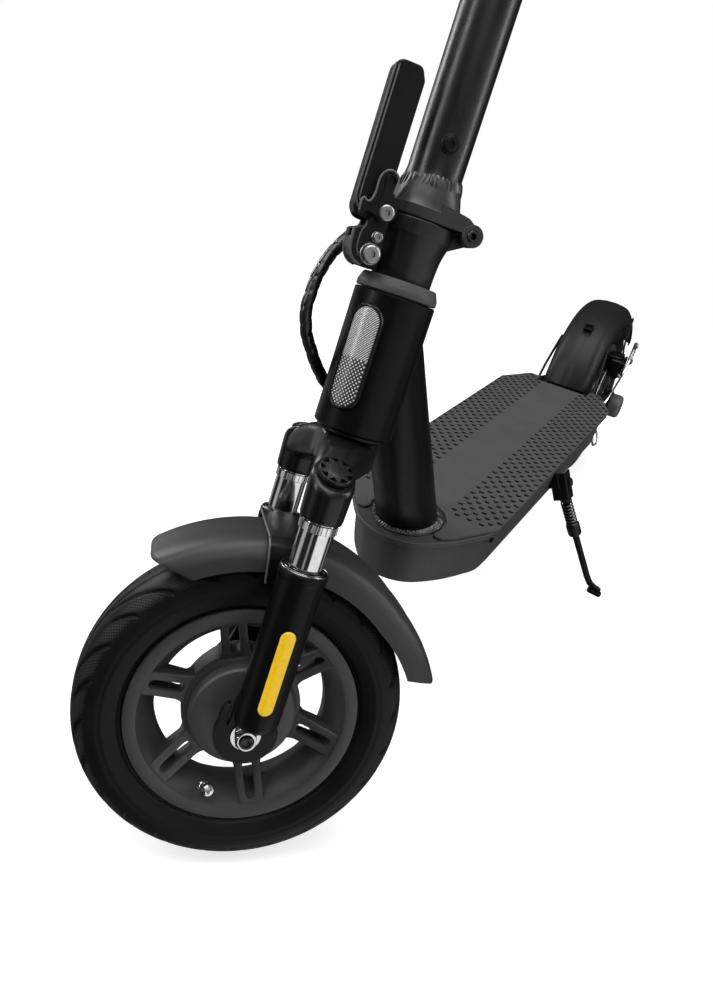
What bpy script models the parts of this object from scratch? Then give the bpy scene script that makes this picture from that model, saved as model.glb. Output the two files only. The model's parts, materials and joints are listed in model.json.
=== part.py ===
"""Electric kick scooter: front hub motor, sprung fork, folding stem, deck, rear disc brake, kickstand.

Built in millimetres in the deck's own frame (x left, y to the rear, z up from the deck), then
pitched so that both tyres and the kickstand foot stand on z = 0, and scaled to metres.
The steering is turned to the right, the stem is up and the kickstand is down.
"""

import math

import bpy
import numpy as np

# ---------------- driving dimensions, mm ----------------
R_TYRE = 127.0          # tyre outer radius, both wheels
R_LIP = 88.5            # rim lip radius
RAKE = math.radians(17.1)    # steering axis from the deck's normal
STEER = math.radians(-51.7)  # how far the fork is turned from straight ahead
HT_Y, HT_Z = 115.6, 344.1    # foot of the head tube
HT_LEN, HT_R = 98.9, 29.4
FORK_OFFSET = 18.9      # legs and axle ahead of the steering axis
LEG_U = 65.2            # half spacing of the legs
AXLE_W = -230.2         # front axle below the head tube's foot
DECK_TOP = 207.5        # mat surface
MAT_T = 3.0
DECK_HALF = 80.2
DECK_FRONT, DECK_TAPER, DECK_END = 304.5, 736.8, 791.0
REAR_Y, REAR_Z = 907.0, 162.0  # rear axle
STEM_TOP_W = 862.0      # handlebar centre along the steering axis
FOLD_V, FOLD_W = 32.0, 152.0   # folding hinge
LATCH_V, LATCH_W = -30.0, 147.0
KS_PIVOT = (82.0, 540.0, 172.0)
GAP = 0.3

TYRE_OUT = [(86.0, 22.5), (89.2, 22.5), (93, 27.5), (105, 31), (116, 29), (123, 22.5), (127, 11)]
TYRE_IN = [(118.5, 9), (107, 24), (86.0, 19.5)]


def vec(*p):
    return np.array(p, float)


def unit(p):
    p = np.asarray(p, float)
    return p / np.linalg.norm(p)


X = vec(1, 0, 0)
V0 = vec(0, math.cos(RAKE), -math.sin(RAKE))
W = vec(0, math.sin(RAKE), math.cos(RAKE))
U = X * math.cos(STEER) + V0 * math.sin(STEER)
V = V0 * math.cos(STEER) - X * math.sin(STEER)
H0 = vec(0, HT_Y, HT_Z)


def S(u, v, w):
    """Point of the steered parts: u left, v rearward, w up the steering axis."""
    return H0 + u * U + v * V + w * W


def F(x, v, w):
    """Point of the head tube's own frame, which does not steer."""
    return H0 + x * X + v * V0 + w * W


FRONT_C = S(0, -FORK_OFFSET, AXLE_W)
REAR_C = vec(0, REAR_Y, REAR_Z)


def solve_pitch():
    """Deck pitch that puts both tyres on one level floor, and the floor's height."""
    pitch = 0.0
    for _ in range(8):
        c, s = math.cos(pitch), math.sin(pitch)
        az = abs(U[2] * c - U[1] * s)
        h = max(r * math.sqrt(1 - az * az) + u * az for r, u in TYRE_OUT)
        d = FRONT_C - REAR_C
        # (z*c - y*s) difference between the centres has to equal h - R
        want = h - R_TYRE
        f = d[2] * c - d[1] * s - want
        g = -d[2] * s - d[1] * c
        pitch -= f / g
    c, s = math.cos(pitch), math.sin(pitch)
    return pitch, -(REAR_C[2] * c - REAR_C[1] * s) + R_TYRE


PITCH, LIFT = solve_pitch()
ROT = np.array([[1, 0, 0], [0, math.cos(PITCH), math.sin(PITCH)], [0, -math.sin(PITCH), math.cos(PITCH)]])


def to_floor(p):
    return np.asarray(p, float) @ ROT.T + vec(0, 0, LIFT)


def from_floor(p):
    return (np.asarray(p, float) - vec(0, 0, LIFT)) @ ROT


# ---------------- mesh building ----------------
def ring(c, a, b, ra, rb=None, n=24, ph=0.0):
    rb = ra if rb is None else rb
    t = ph + np.arange(n) * 2 * math.pi / n
    return np.asarray(c, float) + np.outer(np.cos(t) * ra, a) + np.outer(np.sin(t) * rb, b)


def loft(loops, closed=False):
    n, m = len(loops[0]), len(loops)
    v, f = np.vstack(loops), []
    for i in range(m if closed else m - 1):
        j = (i + 1) % m
        for k in range(n):
            l = (k + 1) % n
            f.append((i * n + k, i * n + l, j * n + l, j * n + k))
    if not closed:
        f.append(tuple(reversed(range(n))))
        f.append(tuple((m - 1) * n + k for k in range(n)))
    return v, f


def perp(d):
    d = unit(d)
    a = unit(np.cross(d, vec(0, 0, 1) if abs(d[2]) < 0.9 else X))
    return a, np.cross(d, a)


def lathe(prof, c, d, n=24, closed=False, ab=None):
    """Revolve (radius, height) pairs about the line through c along d."""
    d = unit(d)
    a, b = ab or perp(d)
    return loft([ring(np.asarray(c) + d * h, a, b, r, n=n) for r, h in prof], closed)


def plate(poly, c, a, b, d, h0, h1):
    poly = np.asarray(poly, float)
    base = np.asarray(c, float) + np.outer(poly[:, 0], a) + np.outer(poly[:, 1], b)
    d = np.asarray(d, float)
    return loft([base + d * h0, base + d * h1])


def box(c, a, b, d, la, lb, ld):
    return plate([(-la, -lb), (la, -lb), (la, lb), (-la, lb)], c, a, b, d, -ld, ld)


def sweep(path, r, n=10, up=None, section=None):
    """Solid bar along a path; radius may be a list."""
    path = np.asarray(path, float)
    m = len(path)
    t = np.gradient(path, axis=0)
    t /= np.linalg.norm(t, axis=1)[:, None]
    a = unit(np.cross(t[0], up if up is not None else perp(t[0])[0]))
    loops = []
    for i in range(m):
        a = unit(a - t[i] * (a @ t[i]))
        b = np.cross(t[i], a)
        rr = r[i] if hasattr(r, "__len__") else r
        if section is None:
            loops.append(ring(path[i], a, b, rr, n=n))
        else:
            s = np.asarray(section, float)
            loops.append(path[i] + np.outer(s[:, 0], a) + np.outer(s[:, 1], b))
    return loft(loops)


def smooth_path(pts, m):
    """Catmull-Rom through the points, m samples."""
    p = np.asarray(pts, float)
    p = np.vstack([2 * p[0] - p[1], p, 2 * p[-1] - p[-2]])
    k = len(p) - 3
    out = []
    for s in np.linspace(0, k, m):
        i = min(int(s), k - 1)
        t = s - i
        a, b, c, d = p[i], p[i + 1], p[i + 2], p[i + 3]
        out.append(0.5 * (2 * b + (c - a) * t + (2 * a - 5 * b + 4 * c - d) * t * t + (3 * b - a - 3 * c + d) * t ** 3))
    return np.array(out)


def mirror(poly):
    """Left half outline, front to rear, closed with its mirror image."""
    return list(poly) + [(-x, y) for x, y in reversed(poly)]


def rounded(hx, hy, r, n=4):
    out = []
    for sx, sy, a0 in ((1, 1, 0), (-1, 1, 90), (-1, -1, 180), (1, -1, 270)):
        for k in range(n + 1):
            t = math.radians(a0 + 90 * k / n)
            out.append((sx * (hx - r) + r * math.cos(t), sy * (hy - r) + r * math.sin(t)))
    return out


ORIGIN = {}
NODES = []
MATS = {}
COLOURS = {
    "tyre": (0.02, 0.02, 0.02), "black_metal": (0.015, 0.015, 0.016), "black_gloss": (0.012, 0.012, 0.013),
    "graphite_metal": (0.05, 0.05, 0.055), "collar_grey": (0.07, 0.07, 0.075), "mat_rubber": (0.06, 0.06, 0.065),
    "fender_plastic": (0.04, 0.04, 0.044), "chrome": (0.8, 0.8, 0.82), "steel": (0.45, 0.45, 0.46),
    "amber": (0.95, 0.6, 0.02), "white_reflector": (0.8, 0.8, 0.8), "black_plastic": (0.02, 0.02, 0.022),
    "rubber": (0.015, 0.015, 0.015), "cable_jacket": (0.02, 0.02, 0.02), "red_lens": (0.5, 0.02, 0.02),
    "lens": (0.85, 0.85, 0.85), "cell_wrap": (0.05, 0.15, 0.4), "copper": (0.6, 0.3, 0.12),
    "board_case": (0.4, 0.4, 0.42), "cap_grey": (0.2, 0.2, 0.21),
}


def material(name):
    if name not in MATS:
        m = bpy.data.materials.new(name)
        m.use_nodes = True
        b = m.node_tree.nodes["Principled BSDF"]
        b.inputs["Base Color"].default_value = (*COLOURS[name], 1)
        b.inputs["Roughness"].default_value = 0.4
        b.inputs["Metallic"].default_value = 1.0 if name in ("chrome", "steel", "copper", "collar_grey") else 0.0
        MATS[name] = m
    return MATS[name]


def mesh_from(name, geo, org):
    v, f = geo
    v = (to_floor(v) - org) * 0.001
    me = bpy.data.meshes.new(name)
    me.from_pydata([tuple(map(float, p)) for p in v], [], [tuple(int(i) for i in q) for q in f])
    me.update()
    import bmesh
    bm = bmesh.new()
    bm.from_mesh(me)
    bmesh.ops.recalc_face_normals(bm, faces=bm.faces)
    bm.to_mesh(me)
    bm.free()
    return me


def node(name, geo, mat, body="frame", cut=(), add=(), angle=35):
    """One named object: a base solid, with solids added to it and cut from it."""
    org = ORIGIN.get(body, vec(0, 0, 0))
    ob = bpy.data.objects.new(name, mesh_from(name, geo, org))
    bpy.context.collection.objects.link(ob)
    for op, parts in (("UNION", add), ("DIFFERENCE", cut)):
        for g in parts:
            t = bpy.data.objects.new("tool", mesh_from("tool", g, org))
            bpy.context.collection.objects.link(t)
            m = ob.modifiers.new("b", "BOOLEAN")
            m.operation, m.solver, m.object = op, "EXACT", t
            bpy.context.view_layer.update()
            dg = bpy.context.evaluated_depsgraph_get()
            me = bpy.data.meshes.new_from_object(ob.evaluated_get(dg))
            ob.modifiers.clear()
            old = ob.data
            ob.data = me
            bpy.data.meshes.remove(old)
            tm = t.data
            bpy.data.objects.remove(t)
            bpy.data.meshes.remove(tm)
    ob.data.name = name
    ob.data.materials.clear()
    ob.data.materials.append(material(mat))
    ob.data.shade_smooth()
    ob.data.set_sharp_from_angle(angle=math.radians(angle))
    ob.location = tuple(org * 0.001)
    NODES.append(ob)
    return ob


# ---------------- outlines ----------------
NOSE = [(0, 221.5), (16, 224.5), (31, 232.5), (44, 246), (58, 265.5), (70, 288), (77.5, 306)]


def deck_outline(inset=0.0, notch=True, end=DECK_END + 7):
    k = inset
    left = [(max(x - k * (0.35 + 0.65 * x / 77.5), 0.0), y + k * (1 - 0.6 * x / 77.5)) for x, y in NOSE[1:]]
    left += [(79 - k, 330), (79 - k, DECK_TAPER), (52 - k * 0.8, DECK_END + 2), (52 - k * 0.8, end)]
    if notch:
        left += [(37.5, end), (37.5, 771)]
    return [(0, NOSE[0][1] + k)] + left + [(-x, y) for x, y in reversed(left)]


def mat_outline():
    left = [(0, 311), (14, 307.5), (27, 298), (35.5, 283), (37.5, 267), (34.5, 256), (37.5, 250.2), (45, 251),
            (53.5, 261), (66, 283.5), (77, 303.5), (80.2, 310), (80.2, DECK_TAPER), (54, DECK_END), (38, DECK_END), (38, 771.5)]
    return left + [(-x, y) for x, y in reversed(left[1:])]


def arc_shell(c, fwd, up, side, secs):
    """Curved channel: secs is a list of (angle, [(radius, offset)...]) closed sections."""
    loops = []
    for th, pts in secs:
        d = fwd * math.cos(th) + up * math.sin(th)
        loops.append(np.array([c + d * r + side * u for r, u in pts]))
    return loft(loops)


def channel(rc, hw, drop, t, shoulder=10.0):
    """Closed section of an inverted U: crown radius, half width, skirt drop, thickness."""
    o = [(rc - drop, hw), (rc - min(drop * 0.55, shoulder + 4), hw - 1.2), (rc - 3.2, hw - shoulder * 0.75), (rc, hw - shoulder * 1.9)]
    i = [(rc - t, hw - shoulder * 1.9), (rc - 3.2 - t, hw - shoulder * 0.75 - t * 0.6), (rc - min(drop * 0.55, shoulder + 4) - t * 0.5, hw - 1.2 - t), (rc - drop, hw - t)]
    left = o
    return left + [(r, -u) for r, u in reversed(o)] + [(r, -u) for r, u in reversed(i)] + i


# ---------------- the scooter ----------------
def wheel(prefix, c, axle, body, ph, bore, drum_cut, disc_side=0):
    a, b = perp(axle)
    prof = TYRE_OUT + [(r, -u) for r, u in reversed(TYRE_OUT)] + [(r, -u) for r, u in reversed(TYRE_IN)] + TYRE_IN
    node(prefix + "_tyre", lathe(prof, c, axle, 32, True, (a, b)), "tyre", body)
    half = [(R_LIP, 27), (R_LIP, 22.9), (85.5, 22.9), (85.3, 18), (80, 12)]
    rim = half + [(r, -u) for r, u in reversed(half)] + [(79, -27), (66.5, -6), (66.5, 6), (79, 27)]
    drum = [(41, -27), (41.5, -12), (46, -10.5), (46, 10.5), (41.5, 12), (41, 27)]
    bars = []
    for k in range(6):
        for s in (-1, 1):
            t = ph + k * math.pi / 3
            d = a * math.cos(t) + b * math.sin(t)
            e = np.cross(axle, d)
            bars.append(box(c + d * 57 + e * s * 6.6, d, e, axle, 14.0, 3.1, 7.0))
    cuts = [lathe([(bore, -40), (bore, 40)], c, axle, 16, False, (a, b))]
    if drum_cut:
        cuts.append(lathe([(36, -18), (36, 18)], c, axle, 20, False, (a, b)))
    node(prefix + "_rim", lathe(rim, c, axle, 32, True, (a, b)), "graphite_metal", body,
         add=bars + [lathe(drum, c, axle, 28, False, (a, b))], cut=cuts)


def hexagon(r):
    return [(r * math.cos(k * math.pi / 3), r * math.sin(k * math.pi / 3)) for k in range(6)]


def build():
    zt = DECK_TOP - MAT_T
    Z, Y = vec(0, 0, 1), vec(0, 1, 0)
    # joint origins, floor frame, mm
    ORIGIN["steer"] = to_floor(H0)
    ORIGIN["fork_lower"] = to_floor(S(0, -FORK_OFFSET, -150))
    ORIGIN["front_wheel"] = to_floor(FRONT_C)
    ORIGIN["rear_wheel"] = to_floor(REAR_C)
    ORIGIN["stem"] = to_floor(S(0, FOLD_V, FOLD_W))
    ORIGIN["latch"] = to_floor(S(0, LATCH_V, LATCH_W))
    ORIGIN["catch"] = to_floor(S(23, LATCH_V, LATCH_W))
    ORIGIN["kickstand"] = to_floor(vec(*KS_PIVOT))
    ORIGIN["brake_lever"] = to_floor(S(104, -26, STEM_TOP_W))
    ORIGIN["throttle"] = to_floor(S(-112, 17, STEM_TOP_W - 16))
    ORIGIN["caliper_arm"] = to_floor(vec(58, REAR_Y - 8, REAR_Z + 76))

    # --- deck ---
    def flat(poly, z0, z1, inset_poly=None):
        p = np.asarray(poly, float)
        q = np.asarray(inset_poly if inset_poly is not None else poly, float)
        return loft([np.c_[p, np.full(len(p), z0)], np.c_[q, np.full(len(q), z1)]])

    # tray wall stands in from the top flange
    tray = loft([np.c_[np.asarray(deck_outline(k), float), np.full(len(deck_outline(k)), z)] for k, z in ((9, 157.0), (5.5, 197.9), (0, 198.2), (0, zt - GAP))])
    cav_t = mirror([(42, 270), (63, 316), (67, 344), (67, DECK_TAPER - 6), (52, 760)])
    cav_b = mirror([(38, 274), (58, 316), (62, 344), (62, DECK_TAPER - 6), (47, 760)])
    node("deck_shell", tray, "black_metal", cut=[flat(cav_b, 150.0, zt - 5, cav_t)])
    node("deck_cover", flat(deck_outline(10.5, False, 769), 154.0, 157.0 - GAP), "black_plastic")
    node("battery_pack", box(vec(0, 575, 179), X, Y, Z, 60, 150, 15), "cell_wrap")
    node("motor_controller", box(vec(0, 360, 180), X, Y, Z, 42, 45, 12), "board_case")
    node("deck_mat", flat(mat_outline(), zt, DECK_TOP), "mat_rubber", angle=20)

    # --- neck and head tube ---
    a0 = vec(0, 269, zt)
    b0 = F(0, 0, 84)
    loops = []
    for t, r in ((0, 33.0), (0.012, 33.0), (0.03, 29.5), (0.3, 27.6), (0.6, 25.5), (0.92, 23.6)):
        c = a0 + (b0 - a0) * t
        k = 1.12
        loops.append(ring(c, X, Y, r, r * k, 24))
    node("frame_neck", lathe([(HT_R, 0), (HT_R, HT_LEN)], H0, W, 28, ab=(X, V0)), "black_metal",
         add=[loft(loops)], cut=[lathe([(22, -1), (22, HT_LEN + 1)], H0, W, 24, ab=(X, V0))])

    def pill(hw, w0, w1, r0, r1, th0=0.0):
        secs = []
        for w in w0 + (w1 - w0) * (1 - np.cos(np.linspace(0, math.pi, 11))) / 2:
            e = min(w - w0, w1 - w)
            h = hw if e >= hw else math.sqrt(max(hw * hw - (hw - e) ** 2, 0.25))
            outer = [F(r1 * math.sin(th0 + s), -r1 * math.cos(th0 + s), w) for s in np.linspace(-h, h, 5) / HT_R]
            inner = [F(r0 * math.sin(th0 + s), -r0 * math.cos(th0 + s), w) for s in np.linspace(h, -h, 5) / HT_R]
            secs.append(np.array(outer + inner))
        return loft(secs)

    th = math.radians(-4.5)
    node("front_reflector", pill(11.2, 15.5, 88, HT_R + 0.25, HT_R + 2.0, th), "white_reflector", angle=30)

    # --- rear end ---
    drop = [(800, 168), (800, 196), (835, 192), (880, 184), (905, 184), (923, 178), (929, 163), (923, 148), (905, 141), (880, 146), (840, 160)]
    for s, n in ((1, "left"), (-1, "right")):
        node("rear_dropout_" + n, plate(drop, vec(0, 0, 0), Y, Z, X, 43.5 * s, 51.5 * s), "black_metal",
             cut=[lathe([(6.3, -70), (6.3, 70)], REAR_C, X, 16)])
    node("rear_axle", lathe([(6.0, -60), (6.0, 60)], REAR_C, X, 16), "steel",
         add=[plate(hexagon(10.5), REAR_C, Y, Z, X, 51.8 * s if s > 0 else -59.5, 59.5 if s > 0 else -51.8) for s in (1, -1)])
    for s, n in ((1, "left"),):
        p = [(17, 52.0), (18, 53.5), (18, 66), (15, 69.5)]
        c = [(14.5, 50.0), (14.5, 62)]
        node("axle_cap_" + n, lathe(p, REAR_C, X * s, 24), "cap_grey", cut=[lathe(c, REAR_C, X * s, 20)])

    secs = []
    for deg in list(range(160, 40, -12)) + [28]:
        t = math.radians(deg)
        rc = 146 + 9 * math.cos(t)
        dropd = 26 + (0 if deg < 130 else (deg - 130) * 0.25)
        if deg < 60:
            dropd = 26 - (60 - deg) * 0.3
        secs.append((t, channel(rc, 34.5, dropd, 2.8)))
    # stays from the shell's skirts down to the dropouts
    stays = []
    for s in (1, -1):
        d = Y * math.cos(math.radians(62)) + Z * math.sin(math.radians(62))
        e = np.cross(X, d)
        path = [REAR_C + d * r + X * x * s for r, x in ((138, 34.5), (112, 36.0), (90, 39.0), (76, 41.8), (40, 41.8), (24, 41.8))]
        rect = [(-5, -1.2), (5, -1.2), (5, 1.2), (-5, 1.2)]
        lp = [np.array([p + e * a + X * b for a, b in rect]) for p in path]
        stays.append(loft(lp))
    node("rear_fender", arc_shell(REAR_C, Y, Z, X, secs), "fender_plastic", add=stays, angle=30)
    t = math.radians(121)
    d = Y * math.cos(t) + Z * math.sin(t)
    e = np.cross(X, d)
    rc = 146 + 9 * math.cos(t)
    node("fender_hook_plug", lathe([(7.5, 0.6), (7.5, 4.5), (6, 6)], REAR_C + d * rc, d, 16), "rubber")
    t = math.radians(38)
    d = Y * math.cos(t) + Z * math.sin(t)
    e = np.cross(X, d)
    rc = 146 + 9 * math.cos(t)
    node("tail_light", plate(rounded(24, 13, 6), REAR_C + d * (rc + 1.2), X, e, d, 0, 8), "red_lens")

    # --- rear brake ---
    cb = vec(0, REAR_Y - 22, REAR_Z + 66)
    node("brake_caliper", box(cb + X * 47.5, X, Y, Z, 7.5, 17, 14), "black_metal",
         add=[box(cb + vec(41.5, 0, 14.6), X, Y, Z, 10.2, 15.3, 3.7), box(cb + vec(33.4, 0, 4.3), X, Y, Z, 2.3, 14.6, 12.2),
              lathe([(6, 0), (6, 2.3)], cb + vec(54, 14, 10), X, 12), box(cb + vec(57, -13, 8.3), X, Y, Z, 3.5, 4.2, 4.4)])
    ar = vec(58, REAR_Y - 8, REAR_Z + 76)
    arm = [(-6, -6), (6, -6), (10, 8), (13, 22), (10, 28), (4, 28), (0, 18), (-5, 6)]
    node("caliper_arm", plate(arm, ar, Y, Z, X, 0.4, 3.6), "black_metal", "caliper_arm",
         cut=[lathe([(2.2, -5), (2.2, 8)], ar + vec(0, 7, 23), X, 10)])
    pc = smooth_path([vec(54.5, 799.5, 186), vec(56, 804, 189), vec(60, 815, 197), vec(61.8, 842, 214), vec(62.4, 868, 229),
                      vec(62.8, REAR_Y - 16, REAR_Z + 93.5)], 14)
    node("brake_cable_rear", sweep(pc, 1.6, 6), "cable_jacket")

    # --- kickstand ---
    kp = vec(*KS_PIVOT)
    dk = unit(vec(76, 0, -158))
    d1 = unit(vec(76, 50, -158))
    kax = unit(np.cross(dk, Y))
    e1 = np.cross(kax, d1)
    yk = Y
    o = kp
    body = [flat(deck_outline(9.1, False), 150.0, 197.8, deck_outline(5.1, False)), flat(deck_outline(-0.5, False), 197.7, 204.6, deck_outline(-0.5, False))]
    node("kickstand_bracket", box(o + yk * 0.2 + dk * 3, dk, kax, yk, 18, 10.6, 13), "black_metal",
         add=[box(o + dk * (-5) - kax * 7 + yk * 0.4, dk, kax, yk, 10, 9, 14)],
         cut=[box(o + dk * 3 + yk * 12, dk, kax, yk, 40, 8.0, 23.2), lathe([(3.3, -20), (3.3, 20)], o, kax, 14)] + body)
    zf = to_floor(o + d1 * 100)[2]
    z0 = to_floor(o)[2]
    length = (z0 - 5.3) / ((z0 - zf) / 100.0)   # rod axis meets the foot's height
    pts = [o - d1 * 5, o + d1 * 40, o + d1 * 80, o + d1 * (length - 28), o + d1 * (length - 12), o + d1 * (length - 4) + X * 5 - yk * 1]
    rod = sweep(pts, [4.4, 4.4, 4.4, 4.4, 4.4, 4.2], 12)
    fo = o + d1 * (length - 4) + X * 5
    ff = to_floor(fo)
    toe_a = from_floor(vec(ff[0] - 7, ff[1], 4.2))
    toe_b = from_floor(vec(ff[0] + 15, ff[1] - 2, 4.2))
    ex, ey, ez = unit(toe_b - toe_a), ROT.T @ Y, ROT.T @ Z
    toe = plate(rounded(11, 5.6, 4.6), (toe_a + toe_b) / 2, ex, ey, ez, -4.2, 2.6)
    node("kickstand_rod", rod, "black_metal", "kickstand",
         add=[toe, lathe([(7.4, 62), (8.4, 64), (8.4, 76), (7.4, 78)], o, d1, 16), lathe([(3.0, -10.4), (3.0, 12)], o, kax, 14),
              lathe([(5.2, 10.9), (5.2, 13.2)], o, kax, 14),
              lathe([(6.8, -5), (6.8, 26)], o, d1, 14)])
    hs = []
    for q in np.linspace(0, 5 * 2 * math.pi, 46):
        h = 28.4 + 31.6 * q / (10 * math.pi)
        hs.append(o + d1 * h + kax * 6.1 * math.cos(q) + e1 * 6.1 * math.sin(q))
    node("kickstand_spring", sweep(np.array(hs), 1.1, 4), "black_metal", "kickstand")

    # --- fork crown, steerer, stanchions ---
    def sleeve(s):
        c = S(LEG_U * s, -FORK_OFFSET, 0)
        n = 18
        t = np.arange(n) * 2 * math.pi / n
        loops = []
        for w, r, tilt in ((-55, 14.2, 0), (-53, 15.3, 0), (-36, 15.8, 0), (-24.5, 15.6, 1), (-22.5, 14.2, 1)):
            base = ring(c + W * w, U, V, r, n=n)
            if tilt:
                base = base - np.outer(np.cos(t) * r * s * math.tan(math.radians(30)), W)
            loops.append(base)
        return loft(loops)

    beam = []
    for u, v0, v1, w0, w1 in ((-62, -31, -9, -41, -24), (-48, -31, -5, -38, -14), (-30, -27, 8, -34, -5.5), (-14, -23, 19, -30, -3.2), (0, -22, 22, -29, -2.6),
                              (14, -23, 19, -30, -3.2), (30, -27, 8, -34, -5.5), (48, -31, -5, -38, -14), (62, -31, -9, -41, -24)):
        vc, hv, wc, hw = (v0 + v1) / 2, (v1 - v0) / 2, (w0 + w1) / 2, (w1 - w0) / 2
        beam.append(np.array([S(u, vc + a, wc + b) for a, b in rounded(hv, hw, min(hv, hw) * 0.55, 2)]))
    node("fork_crown", lathe([(20.5, -26), (20.5, 150 - 8)], H0, W, 24, ab=(U, V)), "black_gloss", "steer",
         add=[loft(beam), sleeve(1), sleeve(-1)],
         cut=[lathe([(12.7, -60), (12.7, -38)], S(LEG_U * s, -FORK_OFFSET, 0), W, 20, ab=(U, V)) for s in (1, -1)])
    for s, n in ((1, "left"), (-1, "right")):
        nn = unit(W + U * s * math.tan(math.radians(30)))
        c = S(LEG_U * s, -FORK_OFFSET, -22.5)
        sc = [(11.6, 0.3), (11.9, 1.2), (11.4, 4.2), (9.5, 5.2)]
        node("adjuster_cap_" + n, lathe(sc, c, nn, 24), "black_plastic", "steer")
        node("stanchion_" + n, lathe([(12.4, -150), (12.4, -38.4)], S(LEG_U * s, -FORK_OFFSET, 0), W, 18, ab=(U, V)), "chrome", "steer",
             add=[lathe([(13.4, -61.5), (13.4, -55.4)], S(LEG_U * s, -FORK_OFFSET, 0), W, 18, ab=(U, V))])

    # --- headset collar, folding base ---
    node("headset_collar", lathe([(29.3, HT_LEN + 0.5), (29.3, 104), (26.2, 110), (20.9, 110), (20.9, HT_LEN + 0.5)], H0, W, 28, True, (U, V)), "collar_grey", "steer")

    def flange(hu, vf, vr, w, n=24, p=2.6, cv=0.0):
        """Super-ellipse loop: half width, front and rear reach."""
        out = []
        for k in range(n):
            t = 2 * math.pi * k / n
            cu, sv = math.cos(t), math.sin(t)
            r = (abs(cu) ** p + abs(sv) ** p) ** (-1 / p)
            out.append(S(hu * r * cu, cv + (vr if sv > 0 else vf) * r * sv, w))
        return np.array(out)

    base = loft([flange(21.5, 21.5, 21.5, 110.4, p=2), flange(21.8, 22, 22, 124, p=2), flange(22.8, 22.5, 22.6, 132, p=2.1),
                 flange(24.3, 23.3, 24, 139, p=2.4), flange(25.3, 23.8, 24.4, 143.5, p=2.8), flange(25.3, 23.8, 24.4, 151.2, p=2.8)])
    fold_c = S(0, FOLD_V, FOLD_W)
    knuckle = lathe([(7.2, -13.6), (7.2, 13.6)], fold_c, U, 20, ab=(V, W))
    web = plate([(-14, -16), (2, -6.5), (2, -1.1), (-14, -1.1)], fold_c, V, W, U, -13.3, 13.3)
    gap_cut = [lathe([(8.6, 13.9), (8.6, 30)], fold_c, U * s, 20, ab=(V, W)) for s in (1, -1)]
    node("fold_base", base, "black_metal", "steer", add=[knuckle, web],
         cut=gap_cut + [lathe([(20.9, 100), (20.9, 143)], H0, W, 24, ab=(U, V)), lathe([(4.2, -20), (4.2, 20)], fold_c, U, 16, ab=(V, W))])
    node("hinge_pin", lathe([(3.9, -26.5), (3.9, 26.5)], fold_c, U, 16, ab=(V, W)), "steel", "steer",
         cut=[plate(hexagon(2.4), fold_c, V, W, U, 21, 28)])
    chk = [(-46, 120), (-44, 113.5), (-38, 110.8), (-23.8, 110.8), (-23.8, 138), (-24.6, 150), (-30, 156), (-36, 150), (-40, 140), (-42, 134.5), (-46, 134)]
    node("latch_bracket", plate(chk, H0, V, W, U, -3.0, 20.5), "black_metal", "steer",
         cut=[box(S(8.55, -35, 145), U, V, W, 8.45, 25, 23), lathe([(4.3, -30), (4.3, 30)], S(0, LATCH_V, LATCH_W), U, 14, ab=(V, W)),
              lathe([(3.3, 12), (3.3, 30)], S(0, -31, 119.5), U, 14, ab=(V, W))])
    node("latch_pivot_bolt", lathe([(4.0, -4.5), (4.0, 25.8)], S(0, LATCH_V, LATCH_W), U, 16, ab=(V, W)), "steel", "steer",
         add=[lathe([(6.2, 25.6), (6.2, 29.2)], S(0, LATCH_V, LATCH_W), U, 16, ab=(V, W))],
         cut=[plate(hexagon(2.5), S(0, LATCH_V, LATCH_W), V, W, U, 26.5, 31)])
    node("latch_base_bolt", lathe([(3.0, 12.4), (3.0, 20.8), (7.4, 20.8), (7.4, 25.5)], S(0, -31, 119.5), U, 18, ab=(V, W)), "steel", "steer",
         cut=[plate(hexagon(3), S(0, -31, 119.5), V, W, U, 22.0, 30)])

    # --- latch lever and safety catch ---
    side = [(-51, 146), (-47, 140), (-36, 139), (-26.5, 143), (-26.5, 152), (-29, 160), (-29, 232), (-33, 240), (-51, 240)]
    node("latch_lever", plate(side, H0, V, W, U, 0.7, 16.4), "black_metal", "latch",
         cut=[plate([(-47.5, 136), (-22, 136), (-22, 236), (-47.5, 236)], H0, V, W, U, 3.7, 13.4),
              lathe([(4.3, -30), (4.3, 30)], S(0, LATCH_V, LATCH_W), U, 14, ab=(V, W))])
    cat = [(-47.4, 152.8), (-44.6, 150.9), (-41.6, 152.2), (-40.1, 157), (-40.2, 166.0), (-38.4, 171.2), (-35.2, 173.4), (-31.1, 172.9), (-27.8, 169.9), (-27.7, 163),
           (-26.0, 157.0), (-22.8, 150.5), (-23.4, 144.7), (-27.0, 140.4), (-33.0, 140.2), (-36.6, 143.4), (-43.0, 144.6), (-45.0, 140.7), (-47.0, 141.1), (-48.6, 147.4)]
    node("safety_catch", plate(cat, H0, V, W, U, 20.9, 25.3), "black_metal", "catch",
         cut=[lathe([(4.25, 15), (4.25, 30)], S(0, LATCH_V, LATCH_W), U, 14, ab=(V, W))])

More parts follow.
